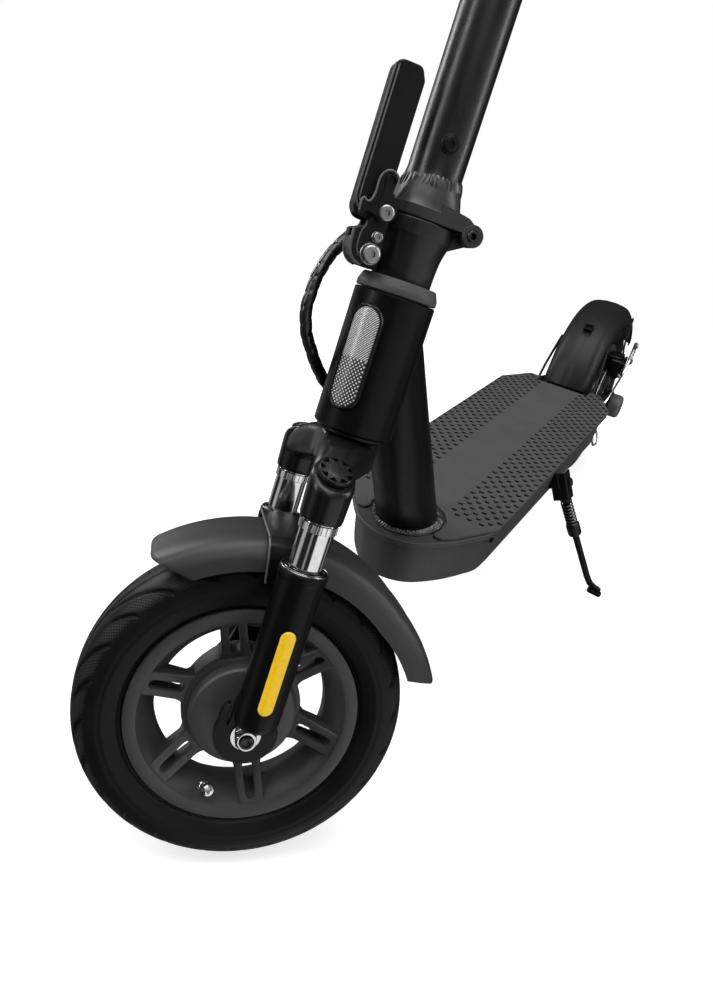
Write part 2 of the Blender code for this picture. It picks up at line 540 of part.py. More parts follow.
    # --- stem ---
    foot = loft([flange(25.3, 23.8, 24.4, 152.0, p=2.8), flange(25.3, 23.8, 24.4, 159.5, p=2.8), flange(24, 22.6, 24, 165, p=2.5),
                 flange(21.2, 20.4, 21.6, 176, p=2.1), flange(21.0, 21.0, 21.0, 181, p=2), flange(19.5, 19.5, 19.5, 185.5, p=2),
                 flange(19.5, 19.5, 19.5, STEM_TOP_W - 10, p=2), flange(17, 17, 17, STEM_TOP_W - 2, p=2)])
    ears = []
    for s in (1, -1):
        a, b = (13.9, 25.3) if s > 0 else (-25.3, -13.9)
        ears.append(lathe([(7.6, a), (7.6, b)], fold_c, U, 20, ab=(V, W)))
        ears.append(plate([(-26, 0.2), (-5, 0.2), (5, -3), (7, 2.6), (-6, 10), (-26, 13)], fold_c, V, W, U, a + 0.2, b - 0.2))
    node("stem_tube", foot, "black_metal", "stem", add=ears,
         cut=[lathe([(8.2, -13.8), (8.2, 13.8)], fold_c, U, 20, ab=(V, W)), lathe([(4.2, -30), (4.2, 30)], fold_c, U, 16, ab=(V, W)),
              lathe([(16.6, 178), (16.6, STEM_TOP_W - 16), (14, STEM_TOP_W - 8), (14, STEM_TOP_W + 5)], H0, W, 20, ab=(U, V))])

    bar_c = S(0, 0, STEM_TOP_W)
    bp = [S(u, v, STEM_TOP_W) for u, v in ((-252, 22), (-90, 6), (-76, 4.8), (-60, 4.0), (-44, 3.6), (0, 3.6), (44, 3.6), (60, 4.0), (76, 4.8), (90, 6), (252, 22))]
    node("handlebar", sweep(bp, 11.1, 14), "black_metal", "stem",
         add=[lathe([(16.6, -19), (16.6, 19)], bar_c, U, 20, ab=(V, W))], cut=[loft([flange(20, 20, 20, STEM_TOP_W - 60, p=2), flange(20, 20, 20, STEM_TOP_W - 9.7, p=2), flange(17.4, 17.4, 17.4, STEM_TOP_W - 1.7, p=2)])])
    for s, n in ((1, "left"), (-1, "right")):
        a, b = S(132 * s, 10.148, STEM_TOP_W), S(256 * s, 22.395, STEM_TOP_W)
        d = unit(b - a)
        L = np.linalg.norm(b - a)
        g = [(14.8, 0), (16.5, 3), (15.2, 10), (15.6, L * 0.5), (15.2, L - 8), (16.5, L - 3), (15, L)]
        node("grip_" + n, lathe(g, a, d, 14), "rubber", "stem", cut=[lathe([(11.6, -20), (11.6, L - 3)], a, d, 16)])
    dash = [np.array([S(a, b, STEM_TOP_W + h) for a, b in rounded(hu, hv, 10, 3)]) for h, hu, hv in ((12.2, 26, 24), (17, 30, 34), (25, 30, 38), (29, 26, 34))]
    node("display", loft(dash), "black_plastic", "stem", cut=[lathe([(17.2, -40), (17.2, 40)], bar_c, U, 20, ab=(V, W)), sweep(bp, 12.0, 14)])
    hl = [np.array([S(a, v, STEM_TOP_W - 2 + b) for a, b in rounded(hu, hw, 9, 3)]) for v, hu, hw in ((-20.4, 20, 13), (-30, 22, 15), (-44, 19, 13))]
    node("headlight", loft(hl), "black_plastic", "stem")
    node("headlight_lens", loft([np.array([S(a, v, STEM_TOP_W - 2 + b) for a, b in rounded(hu, hw, 7, 3)]) for v, hu, hw in ((-44.4, 17, 11), (-47.5, 15, 9))]), "lens", "stem")
    pc_ = S(104, 7.383, STEM_TOP_W)
    bd = unit(S(252, 22, STEM_TOP_W) - S(90, 6, STEM_TOP_W))
    node("brake_perch", lathe([(15.5, -11), (15.5, 11)], pc_, bd, 18), "black_metal", "stem",
         add=[box(S(104, -15, STEM_TOP_W), U, V, W, 9, 14, 6)], cut=[lathe([(11.5, -30), (11.5, 30)], pc_, bd, 16),
              box(S(104, -26, STEM_TOP_W), U, V, W, 13, 9, 3.0)])
    lv = [S(u, v, STEM_TOP_W) for u, v in ((100, -26), (112, -27), (126, -34), (150, -40), (180, -40), (208, -37), (214, -37))]
    node("brake_lever", sweep(smooth_path(lv, 15), [3.0] * 3 + [4.2] * 10 + [5.5, 5.0], 10, up=None,
                              section=[(2.6 * math.cos(t) * k, 5.0 * math.sin(t)) for t, k in [(q * math.pi / 5, 1.0) for q in range(10)]]), "black_metal", "brake_lever")
    tp = unit(S(-252, 22, STEM_TOP_W) - S(-90, 6, STEM_TOP_W))
    tc = S(-112, 8.173, STEM_TOP_W)
    node("throttle_body", lathe([(16.5, -10), (17.5, -8), (17.5, 8), (16.5, 10)], tc, tp, 18), "black_plastic", "stem",
         add=[box(S(-112, 10, STEM_TOP_W - 17), U, V, W, 9, 7, 7)], cut=[lathe([(11.6, -30), (11.6, 30)], tc, tp, 16), box(S(-112, 17.5, STEM_TOP_W - 19), U, V, W, 3.6, 8, 7.5)])
    tl = [(-3, -3), (3, -3.5), (16, -13), (25, -17), (25, -12.5), (15, -7), (5, 4), (-3, 3)]
    node("throttle_lever", plate(tl, S(-112, 17, STEM_TOP_W - 16), V, W, U, -3.0, 3.0), "black_plastic", "throttle")

    # --- cable loom from the folding base to the frame ---
    cp = smooth_path([S(-24.8, -7, 126), S(-31, -11, 128), S(-36.5, -23, 131.5), F(-50.9, 6.2, 130.6), F(-54.4, -13.7, 105.6), F(-52.7, -23.4, 77.2), F(-49.2, -20.1, 57.3),
                      F(-42.9, -5.6, 37.6), F(-37.9, 10.5, 24.3), F(-34, 34, 17), F(-27, 54, 13)], 30)
    node("cable_loom", sweep(cp, 4.7, 8), "cable_jacket")

    # --- lower fork ---
    ax = U
    legs_cut = lambda s: [lathe([(13.0, -190), (13.0, -80)], S(LEG_U * s, -FORK_OFFSET, 0), W, 18, ab=(U, V))]
    for s, n in ((1, "left"), (-1, "right")):
        c = S(LEG_U * s, -FORK_OFFSET, 0)
        prof = [(15.0, -212), (16.6, -206.5), (16.6, -97), (17.3, -96), (17.3, -91), (16, -90)]
        tab = [(23.5 * math.cos(q), 23.5 * math.sin(q)) for q in np.linspace(math.radians(-200), math.radians(20), 13)] + [(14, 26), (10, 44), (-10, 44), (-14, 26)]
        node("lower_leg_" + n, lathe(prof, c, W, 20, ab=(U, V)), "black_metal", "fork_lower",
             add=[plate(tab, FRONT_C, V, W, U * s, 44.6, 51.0)], cut=legs_cut(s) + [lathe([(6.3, 40), (6.3, 90)], FRONT_C, U * s, 16, ab=(V, W))])
    node("front_axle", lathe([(6.0, -62), (6.0, 62)], FRONT_C, U, 16, ab=(V, W)), "steel", "fork_lower")
    for s, n in ((1, "left"), (-1, "right")):
        node("axle_nut_" + n, plate(hexagon(9.2), FRONT_C, V, W, U * s, 51.3, 59.5), "chrome", "fork_lower",
             cut=[lathe([(6.3, 40), (6.3, 90)], FRONT_C, U * s, 16, ab=(V, W))])
    node("motor_stator", lathe([(31, -13), (31, 13), (6.2, 13), (6.2, -13)], FRONT_C, U, 24, True, (V, W)), "copper", "fork_lower")
    for s, n in ((1, "left"), (-1, "right")):
        secs = []
        hw, w0, w1 = 5.2, -194.5, -130.5
        for w in w0 + (w1 - w0) * (1 - np.cos(np.linspace(0, math.pi, 9))) / 2:
            e = min(w - w0, w1 - w)
            h = hw if e >= hw else math.sqrt(max(hw * hw - (hw - e) ** 2, 0.25))
            c = S(LEG_U * s, -FORK_OFFSET, w)
            r1, r0 = 18.0, 16.85
            outer = [c + U * s * r1 * math.cos(q) + V * r1 * math.sin(q) for q in np.linspace(-h, h, 4) / 16.6]
            inner = [c + U * s * r0 * math.cos(q) + V * r0 * math.sin(q) for q in np.linspace(h, -h, 4) / 16.6]
            secs.append(np.array(outer + inner))
        node("leg_reflector_" + n, loft(secs), "amber", "fork_lower", angle=30)
    guard = [(144.8 - r, u) for r, u in channel(144.8, 36.5, 22.5, 2.6)]
    loops = []
    for k in np.r_[0, 0.03, np.linspace(0.09, 0.93, 11), 0.97, 1]:
        pts = []
        for dr, u in guard:
            g, q = dr / 22.5, (u / 36.5) ** 2
            fore, aft = -42.5 + 8.5 * g + 1.0 * q, 68.5 - 4.5 * g - 2.0 * q    # the side walls end short of the crown
            deg = fore + (aft - fore) * k
            t = math.radians(90 - deg)
            rc = 144.8 + (0 if deg < 40 else (deg - 40) * 0.24)
            pts.append(FRONT_C + (V * math.cos(t) + W * math.sin(t)) * (rc - dr) + U * u)
        loops.append(np.array(pts))
    node("front_mudguard", loft(loops), "fender_plastic", "fork_lower", angle=30)
    secs = []
    for deg in (-13, -8, -3, 2, 7):
        t = math.radians(90 - deg)
        secs.append((t, [(116, 40.8), (134, 40.8), (144, 38.5), (147.9, 31), (147.9, -31), (144, -38.5), (134, -40.8), (116, -40.8),
                         (116, -38.2), (134, -38.2), (142.4, -36.4), (145.5, -29.5), (145.5, 29.5), (142.4, 36.4), (134, 38.2), (116, 38.2)]))
    lugs = [box(S(45.5 * s, -FORK_OFFSET, -110), U, V, W, 5.2, 7, 5) for s in (1, -1)]
    node("mudguard_bridge", arc_shell(FRONT_C, V, W, U, secs), "black_metal", "fork_lower", add=lugs,
         cut=[lathe([(16.9, -150), (16.9, -80)], S(LEG_U * s, -FORK_OFFSET, 0), W, 24, ab=(U, V)) for s in (1, -1)], angle=30)

    # --- wheels ---
    wheel("front", FRONT_C, U, "front_wheel", math.radians(40), 8.5, True)
    wheel("rear", REAR_C, X, "rear_wheel", math.radians(20), 8.0, False)
    node("brake_disc", lathe([(70, 36.4), (70, 38.4), (26.0, 38.4), (26.0, 39.6), (9, 39.6), (9, 27.3), (26.0, 27.3), (26.0, 36.4)], REAR_C, X, 28, True), "steel", "rear_wheel")


def main():
    for o in list(bpy.data.objects):
        bpy.data.objects.remove(o)
    build()
    # origin: middle of the whole object's footprint, on the floor
    lo, hi = vec(1e9, 1e9, 1e9), vec(-1e9, -1e9, -1e9)
    for o in NODES:
        for v in o.data.vertices:
            p = np.array(v.co) + np.array(o.location)
            lo, hi = np.minimum(lo, p), np.maximum(hi, p)
    sx, sy = (lo[0] + hi[0]) / 2, (lo[1] + hi[1]) / 2
    for o in NODES:
        o.location.x -= sx
        o.location.y -= sy
    print("SHIFT_MM", round(sx * 1000, 4), round(sy * 1000, 4), "PITCH_DEG", math.degrees(PITCH), "LIFT", LIFT, "LOW", lo * 1000, "HIGH", hi * 1000)


main()
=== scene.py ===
import json
import math

import bmesh
import bpy
import numpy as np
from mathutils import Matrix, Vector

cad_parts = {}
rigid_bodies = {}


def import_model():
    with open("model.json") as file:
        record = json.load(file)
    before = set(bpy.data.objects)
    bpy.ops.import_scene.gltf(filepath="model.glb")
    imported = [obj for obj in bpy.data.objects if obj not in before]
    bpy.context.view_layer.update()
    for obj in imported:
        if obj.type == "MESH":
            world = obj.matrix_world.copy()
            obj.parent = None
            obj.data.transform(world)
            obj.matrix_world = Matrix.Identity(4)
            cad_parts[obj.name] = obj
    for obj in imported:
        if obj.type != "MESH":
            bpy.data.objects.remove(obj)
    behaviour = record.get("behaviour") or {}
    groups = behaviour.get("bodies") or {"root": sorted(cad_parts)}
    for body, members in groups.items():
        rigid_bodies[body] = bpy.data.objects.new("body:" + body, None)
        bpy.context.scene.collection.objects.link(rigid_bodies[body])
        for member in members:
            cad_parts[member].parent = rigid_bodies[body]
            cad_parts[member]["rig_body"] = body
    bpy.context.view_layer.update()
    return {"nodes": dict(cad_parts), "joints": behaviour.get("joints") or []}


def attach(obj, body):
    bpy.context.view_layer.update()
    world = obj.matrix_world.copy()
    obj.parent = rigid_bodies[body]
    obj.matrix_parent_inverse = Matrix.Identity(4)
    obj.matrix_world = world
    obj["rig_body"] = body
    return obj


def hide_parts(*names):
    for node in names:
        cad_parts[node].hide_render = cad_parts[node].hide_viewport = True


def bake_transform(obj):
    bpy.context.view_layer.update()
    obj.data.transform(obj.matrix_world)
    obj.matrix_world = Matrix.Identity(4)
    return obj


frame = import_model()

# ---------------------------------------------------------------- the object's own frame, millimetres
RAKE, STEER, PITCH, LIFT = math.radians(17.1), math.radians(-51.7), math.radians(2.171106027), -0.523028
FORK_OFFSET, LEG_U, AXLE_W, STEM_TOP_W = 18.9, 65.2, -230.2, 862.0
DECK_TOP, MAT_T, DECK_TAPER, DECK_END = 207.5, 3.0, 736.8, 791.0
HT_LEN, HT_R = 98.9, 29.4
FOLD_V, FOLD_W, LATCH_V, LATCH_W = 32.0, 152.0, -30.0, 147.0
REAR_Y, REAR_Z = 907.0, 162.0


def vec(*p):
    return np.array(p, float)


def unit(p):
    p = np.asarray(p, float)
    return p / np.linalg.norm(p)


X, Y, Z = vec(1, 0, 0), vec(0, 1, 0), vec(0, 0, 1)
V0 = vec(0, math.cos(RAKE), -math.sin(RAKE))
W = vec(0, math.sin(RAKE), math.cos(RAKE))
U = X * math.cos(STEER) + V0 * math.sin(STEER)
V = V0 * math.cos(STEER) - X * math.sin(STEER)
H0 = vec(0, 115.6, 344.1)
ROT = np.array([[1, 0, 0], [0, math.cos(PITCH), math.sin(PITCH)], [0, -math.sin(PITCH), math.cos(PITCH)]])


def S(u, v, w):
    return H0 + u * U + v * V + w * W


def F(x, v, w):
    return H0 + x * X + v * V0 + w * W


FRONT_C = S(0, -FORK_OFFSET, AXLE_W)
REAR_C = vec(0, REAR_Y, REAR_Z)
JOINT = {j["name"]: j for j in frame["joints"]}
SHIFT = FRONT_C @ ROT.T + vec(0, 0, LIFT) - np.array(JOINT["front_wheel_spin"]["pos_m"]) * 1000


def row(p):
    """Deck-frame millimetres to row-frame metres."""
    return (np.asarray(p, float) @ ROT.T + vec(0, 0, LIFT) - SHIFT) * 0.001


def rdir(d):
    return unit(np.asarray(d, float) @ ROT.T)


def from_floor(p):
    return (np.asarray(p, float) - vec(0, 0, LIFT)) @ ROT


# ---------------------------------------------------------------- camera
a, e, r = math.radians(24.427), math.radians(28.328), math.radians(11.139)
back = vec(math.sin(a) * math.cos(e), -math.cos(a) * math.cos(e), math.sin(e))
right = vec(math.cos(a), math.sin(a), 0)
up = np.cross(back, right)
r2 = right * math.cos(r) + up * math.sin(r)
u2 = -right * math.sin(r) + up * math.cos(r)
cam = bpy.data.objects.new("camera", bpy.data.cameras.new("camera"))
bpy.context.scene.collection.objects.link(cam)
mw = np.eye(4)
for k, d in enumerate((r2, u2, back)):
    mw[:3, k] = rdir(d)
mw[:3, 3] = row((242.47, -388.28, 591.75))
cam.matrix_world = Matrix(mw.tolist())
cam.data.lens, cam.data.sensor_width, cam.data.sensor_fit = 30.276, 36.0, "AUTO"
cam.data.clip_start, cam.data.clip_end = 0.02, 60
bpy.context.scene.camera = cam


# ---------------------------------------------------------------- mesh makers
def ring(c, a, b, ra, rb=None, n=24, ph=0.0):
    rb = ra if rb is None else rb
    t = ph + np.arange(n) * 2 * math.pi / n
    return np.asarray(c, float) + np.outer(np.cos(t) * ra, a) + np.outer(np.sin(t) * rb, b)


def loft(loops, closed=False, caps=True):
    n, m = len(loops[0]), len(loops)
    v, f = np.vstack(loops), []
    for i in range(m if closed else m - 1):
        j = (i + 1) % m
        for k in range(n):
            l = (k + 1) % n
            f.append((i * n + k, i * n + l, j * n + l, j * n + k))
    if not closed and caps:
        f.append(tuple(reversed(range(n))))
        f.append(tuple((m - 1) * n + k for k in range(n)))
    return v, f


def perp(d):
    d = unit(d)
    a = unit(np.cross(d, vec(0, 0, 1) if abs(d[2]) < 0.9 else X))
    return a, np.cross(d, a)


def lathe(prof, c, d, n=64, closed=False, ab=None, ph=0.0):
    d = unit(d)
    a, b = ab or perp(d)
    return loft([ring(np.asarray(c) + d * h, a, b, r, n=n, ph=ph) for r, h in prof], closed)


def plate(poly, c, a, b, d, h0, h1, ch=0.0):
    """Flat plate; ch chamfers both rims by moving the outline towards its own centre line."""
    poly = np.asarray(poly, float)
    a, b, d = (np.asarray(q, float) for q in (a, b, d))
    base = np.asarray(c, float) + np.outer(poly[:, 0], a) + np.outer(poly[:, 1], b)
    if not ch:
        return loft([base + d * h0, base + d * h1])
    nx, pv = np.roll(poly, -1, 0), np.roll(poly, 1, 0)
    e1, e2 = poly - pv, nx - poly
    e1 /= np.linalg.norm(e1, axis=1)[:, None] + 1e-9
    e2 /= np.linalg.norm(e2, axis=1)[:, None] + 1e-9
    area = 0.5 * np.sum(poly[:, 0] * nx[:, 1] - nx[:, 0] * poly[:, 1])
    s = 1 if area > 0 else -1
    n1, n2 = np.c_[-e1[:, 1], e1[:, 0]] * s, np.c_[-e2[:, 1], e2[:, 0]] * s
    m = n1 + n2
    m /= np.maximum((m * n1).sum(1), 0.5)[:, None]
    q = poly + m * ch
    inner = np.asarray(c, float) + np.outer(q[:, 0], a) + np.outer(q[:, 1], b)
    t = math.copysign(ch, h1 - h0)
    return loft([inner + d * h0, base + d * (h0 + t), base + d * (h1 - t), inner + d * h1])


def box(c, a, b, d, la, lb, ld, ch=0.0):
    return plate([(-la, -lb), (la, -lb), (la, lb), (-la, lb)], c, a, b, d, -ld, ld, ch)


def sweep(path, r, n=16, up=None, section=None):
    path = np.asarray(path, float)
    t = np.gradient(path, axis=0)
    t /= np.linalg.norm(t, axis=1)[:, None]
    a = unit(np.cross(t[0], up if up is not None else perp(t[0])[0]))
    loops = []
    for i in range(len(path)):
        a = unit(a - t[i] * (a @ t[i]))
        b = np.cross(t[i], a)
        rr = r[i] if hasattr(r, "__len__") else r
        if section is None:
            loops.append(ring(path[i], a, b, rr, n=n))
        else:
            s = np.asarray(section, float)
            loops.append(path[i] + np.outer(s[:, 0], a) + np.outer(s[:, 1], b))
    return loft(loops)


def smooth_path(pts, m):
    p = np.asarray(pts, float)
    p = np.vstack([2 * p[0] - p[1], p, 2 * p[-1] - p[-2]])
    k = len(p) - 3
    out = []
    for s in np.linspace(0, k, m):
        i = min(int(s), k - 1)
        t = s - i
        a, b, c, d = p[i], p[i + 1], p[i + 2], p[i + 3]
        out.append(0.5 * (2 * b + (c - a) * t + (2 * a - 5 * b + 4 * c - d) * t * t + (3 * b - a - 3 * c + d) * t ** 3))
    return np.array(out)


def even_path(pts, m):
    """Smooth path with even spacing."""
    q = smooth_path(pts, m * 8)
    s = np.r_[0, np.cumsum(np.linalg.norm(np.diff(q, axis=0), axis=1))]
    t = np.linspace(0, s[-1], m)
    return np.stack([np.interp(t, s, q[:, k]) for k in range(3)], 1), s[-1]


def round_poly(poly, r, n=5):
    """Rounds the corners of an outline; r may be a list."""
    p = np.asarray(poly, float)
    out, m = [], len(p)
    for i in range(m):
        rr = r[i] if hasattr(r, "__len__") else r
        a, b, c = p[i - 1], p[i], p[(i + 1) % m]
        da, dc = a - b, c - b
        la, lc = np.linalg.norm(da), np.linalg.norm(dc)
        if rr <= 0:
            out.append(b)
            continue
        da, dc = da / la, dc / lc
        ang = math.acos(max(-1, min(1, da @ dc)))
        t = min(rr / max(math.tan(ang / 2), 1e-3), la * 0.48, lc * 0.48)
        p0, p2 = b + da * t, b + dc * t
        for k in range(n + 1):
            s = k / n
            out.append((1 - s) ** 2 * p0 + 2 * s * (1 - s) * b + s * s * p2)
    return np.array(out)


def rounded(hx, hy, r, n=6):
    out = []
    for sx, sy, a0 in ((1, 1, 0), (-1, 1, 90), (-1, -1, 180), (1, -1, 270)):
        for k in range(n + 1):
            t = math.radians(a0 + 90 * k / n)
            out.append((sx * (hx - r) + r * math.cos(t), sy * (hy - r) + r * math.sin(t)))
    return out


def hexagon(r, ph=0.0):
    return [(r * math.cos(k * math.pi / 3 + ph), r * math.sin(k * math.pi / 3 + ph)) for k in range(6)]


def grid(fn, us, vs, closed_u=False):
    """Surface patch from a function."""
    v = np.array([[fn(p, q) for p in us] for q in vs]).reshape(-1, 3)
    n, f = len(us), []
    for j in range(len(vs) - 1):
        for i in range(n if closed_u else n - 1):
            k = (i + 1) % n
            f.append((j * n + i, j * n + k, (j + 1) * n + k, (j + 1) * n + i))
    return v, f


def build_mesh(name, geos):
    vs, fs, mi, off = [], [], [], 0
    for g in geos:
        v, f = g[0], g[1]
        m = g[2] if len(g) > 2 else 0
        vs.append(row(v))
        fs += [tuple(int(i) + off for i in q) for q in f]
        mi += list(m) if hasattr(m, "__len__") else [m] * len(f)
        off += len(v)
    me = bpy.data.meshes.new(name)
    me.from_pydata([tuple(map(float, p)) for p in np.vstack(vs)], [], fs)
    me.update()
    me.polygons.foreach_set("material_index", np.array(mi, np.int32))
    bm = bmesh.new()
    bm.from_mesh(me)
    bmesh.ops.recalc_face_normals(bm, faces=bm.faces)
    bm.to_mesh(me)
    bm.free()
    return me


PIECES = {}


def piece(name, geos, mats, body, replaces=(), cut=(), add=(), angle=32, bevel=0.0, segs=2, subsurf=0, remesh=0.0, relax=0, bevel_angle=30):
    """One visible piece of the object on a CAD body."""
    if isinstance(geos, tuple) and len(geos) in (2, 3) and hasattr(geos[0], "shape"):
        geos = [geos]
    ob = bpy.data.objects.new(name, build_mesh(name, geos))
    bpy.context.scene.collection.objects.link(ob)
    for op, parts in (("UNION", add), ("DIFFERENCE", cut)):
        for g in parts:
            t = bpy.data.objects.new("tool", build_mesh("tool", [g]))
            bpy.context.scene.collection.objects.link(t)
            m = ob.modifiers.new("b", "BOOLEAN")
            m.operation, m.solver, m.object = op, "EXACT", t
            me = bpy.data.meshes.new_from_object(ob.evaluated_get(bpy.context.evaluated_depsgraph_get()))
            ob.modifiers.clear()
            ob.data = me
            tm = t.data
            bpy.data.objects.remove(t)
            bpy.data.meshes.remove(tm)
    keep = np.zeros(len(ob.data.polygons), np.int32)
    ob.data.polygons.foreach_get("material_index", keep)
    ob.data.materials.clear()
    for m in (mats if isinstance(mats, (list, tuple)) else [mats]):
        ob.data.materials.append(m)
    ob.data.polygons.foreach_set("material_index", keep)
    if remesh:
        m = ob.modifiers.new("remesh", "REMESH")
        m.mode, m.voxel_size, m.use_smooth_shade = "VOXEL", remesh * 0.001, True
        if relax:
            m = ob.modifiers.new("relax", "SMOOTH")
            m.factor, m.iterations = 0.5, relax
        me = bpy.data.meshes.new_from_object(ob.evaluated_get(bpy.context.evaluated_depsgraph_get()))
        ob.modifiers.clear()
        ob.data = me
        ob.data.shade_smooth()
    else:
        ob.data.shade_smooth()
        ob.data.set_sharp_from_angle(angle=math.radians(angle))
    if bevel:
        ob.data.shade_smooth()
        m = ob.modifiers.new("bevel", "BEVEL")
        m.width, m.segments, m.limit_method, m.angle_limit = bevel * 0.001, segs, "ANGLE", math.radians(bevel_angle)
        m.harden_normals = True
        m.miter_outer = "MITER_ARC"
        m.use_clamp_overlap = True
    if subsurf:
        m = ob.modifiers.new("sub", "SUBSURF")
        m.levels = m.render_levels = subsurf
    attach(ob, body)
    if replaces:
        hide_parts(*([replaces] if isinstance(replaces, str) else replaces))
    PIECES[name] = ob
    return ob


# ---------------------------------------------------------------- materials
class Mat:
    """Small builder for node materials; patterns are in the object's own rest coordinates, in millimetres."""

    def __init__(self, name):
        self.m = bpy.data.materials.new(name)
        self.m.use_nodes = True
        self.nt = self.m.node_tree
        self.b = self.nt.nodes["Principled BSDF"]
        t = self.nt.nodes.new("ShaderNodeTexCoord")
        k = self.nt.nodes.new("ShaderNodeVectorMath")
        k.operation = "SCALE"
        k.inputs["Scale"].default_value = 1000.0
        self.nt.links.new(t.outputs["Object"], k.inputs[0])
        self.co = k.outputs[0]

    def node(self, kind, **props):
        n = self.nt.nodes.new(kind)
        for k, v in props.items():
            setattr(n, k, v)
        return n

    def link(self, a, b):
        self.nt.links.new(a, b)

    def val(self, sock, v):
        if hasattr(v, "is_output") or isinstance(v, bpy.types.NodeSocket):
            self.link(v, sock)
        else:
            sock.default_value = v

    def math(self, op, a, b=0.0, c=None, clamp=False):
        n = self.node("ShaderNodeMath", operation=op, use_clamp=clamp)
        self.val(n.inputs[0], a)
        self.val(n.inputs[1], b)
        if c is not None:
            self.val(n.inputs[2], c)
        return n.outputs[0]

    def noise(self, scale_mm, detail=3.0, rough=0.55, co=None, stretch=None, dist=0.0):
        n = self.node("ShaderNodeTexNoise")
        n.inputs["Scale"].default_value = 1.0 / scale_mm
        n.inputs["Detail"].default_value = detail
        n.inputs["Roughness"].default_value = rough
        n.inputs["Distortion"].default_value = dist
        src = co or self.co
        if stretch is not None:
            v = self.node("ShaderNodeVectorMath", operation="MULTIPLY")
            self.link(src, v.inputs[0])
            v.inputs[1].default_value = stretch
            src = v.outputs[0]
        self.link(src, n.inputs["Vector"])
        return n.outputs["Fac"]

    def voronoi(self, scale_mm, feature="F1", co=None, rand=1.0, out="Distance"):
        n = self.node("ShaderNodeTexVoronoi", feature=feature)
        n.inputs["Scale"].default_value = 1.0 / scale_mm
        n.inputs["Randomness"].default_value = rand
        self.link(co or self.co, n.inputs["Vector"])
        return n.outputs[out]

    def map(self, x, a, b, c, d, smooth=False):
        n = self.node("ShaderNodeMapRange")
        if smooth:
            n.interpolation_type = "SMOOTHSTEP"
        n.clamp = True
        self.val(n.inputs["Value"], x)
        for k, v in zip(("From Min", "From Max", "To Min", "To Max"), (a, b, c, d)):
            n.inputs[k].default_value = v
        return n.outputs["Result"]

    def mix(self, f, a, b):
        n = self.node("ShaderNodeMix", data_type="RGBA")
        self.val(n.inputs["Factor"], f)
        for s, v in ((n.inputs["A"], a), (n.inputs["B"], b)):
            if isinstance(v, (tuple, list)):
                s.default_value = (*v[:3], 1)
            else:
                self.link(v, s)
        return n.outputs["Result"]

    def dot(self, d, c=(0, 0, 0)):
        """Coordinate along a deck-frame direction from a deck-frame point, in millimetres."""
        dd, cc = rdir(d), row(c) * 1000
        n = self.node("ShaderNodeVectorMath", operation="DOT_PRODUCT")
        self.link(self.co, n.inputs[0])
        n.inputs[1].default_value = tuple(float(q) for q in dd)
        return self.math("SUBTRACT", n.outputs["Value"], float(dd @ cc))

    def color(self, v):
        self.val(self.b.inputs["Base Color"], (*v[:3], 1) if isinstance(v, (tuple, list)) else v)
        return self

    def rough(self, v):
        self.val(self.b.inputs["Roughness"], v)
        return self

    def bump(self, h, dist_mm, strength=1.0):
        n = self.node("ShaderNodeBump")
        n.inputs["Strength"].default_value = strength
        n.inputs["Distance"].default_value = dist_mm * 0.001
        self.link(h, n.inputs["Height"])
        if self.b.inputs["Normal"].links:
            self.link(self.b.inputs["Normal"].links[0].from_socket, n.inputs["Normal"])
        self.link(n.outputs["Normal"], self.b.inputs["Normal"])
        return self

    def set(self, **kw):
        for k, v in kw.items():
            self.b.inputs[k.replace("_", " ")].default_value = v
        return self


def coat_black(name, base, rough, spec=0.35, grain=0.9, bump=0.02, metal=0.0, lift=1.5, coat=0.0, coat_rough=0.1):
    """Painted or powder-coated metal: fine orange-peel grain, faint broad tone changes and handling marks."""
    m = Mat(name)
    broad = m.noise(38, 2)
    fine = m.noise(grain, 3, 0.6)
    smear = m.noise(9, 4, 0.6, stretch=(1, 1, 0.25))
    c = m.mix(m.map(broad, 0.35, 0.7, 0, 1), base, tuple(min(1, q * lift) for q in base))
    m.color(m.mix(m.map(fine, 0.55, 0.75, 0, 0.35), c, tuple(min(1, q * 2.2 + 0.004) for q in base)))
    m.rough(m.math("ADD", m.map(smear, 0.3, 0.7, rough - 0.05, rough + 0.06), m.map(fine, 0.3, 0.7, -0.02, 0.03)))
    m.bump(fine, bump)
    m.set(Metallic=metal, Specular_IOR_Level=spec, Coat_Weight=coat, Coat_Roughness=coat_rough)
    return m.m


M = {}
M["frame"] = coat_black("frame_satin_black", (0.0026, 0.0026, 0.0028), 0.33, 0.14)
M["stem"] = coat_black("stem_satin_black", (0.0065, 0.0065, 0.0068), 0.30, 0.42)
# lighter cast black for the stem's foot: its own coarser cast finish, with a lighter base that paints the broad
# reflection the foot catches
M["cast"] = coat_black("cast_black", (0.019, 0.019, 0.0195), 0.38, 0.5, grain=1.4, bump=0.06)
M["leg"] = coat_black("fork_leg_black", (0.0026, 0.0026, 0.0028), 0.36, 0.14)
M["deck"] = coat_black("deck_side_grey", (0.046, 0.046, 0.047), 0.48, 0.35, grain=1.2, lift=1.15)
M["gloss"] = coat_black("crown_gloss_black", (0.0035, 0.0035, 0.0037), 0.30, 0.30, grain=2.0, bump=0.01, coat=0.12, coat_rough=0.2)
M["plate_black"] = coat_black("plate_black", (0.0035, 0.0035, 0.0037), 0.34, 0.24)
# a lighter copy of the bracket's black for its front face band: painted sheen on that face
M["bridge"] = coat_black("bridge_satin", (0.020, 0.020, 0.0205), 0.36, 0.5)
# lighter satin grey: the brake lever's own finish, and painted highlight on the thin strips laid along the edges of the
# latch bracket, lever, catch and mudguard yoke
M["edge_metal"] = coat_black("lever_satin_and_edge_glint", (0.085, 0.085, 0.087), 0.36, 0.6)
M["rim"] = coat_black("rim_cast_grey", (0.040, 0.040, 0.0415), 0.46, 0.5, grain=1.1, bump=0.05, lift=1.25)
M["collar"] = coat_black("collar_anodised", (0.055, 0.055, 0.057), 0.52, 0.35, grain=0.7, bump=0.01, lift=1.15)


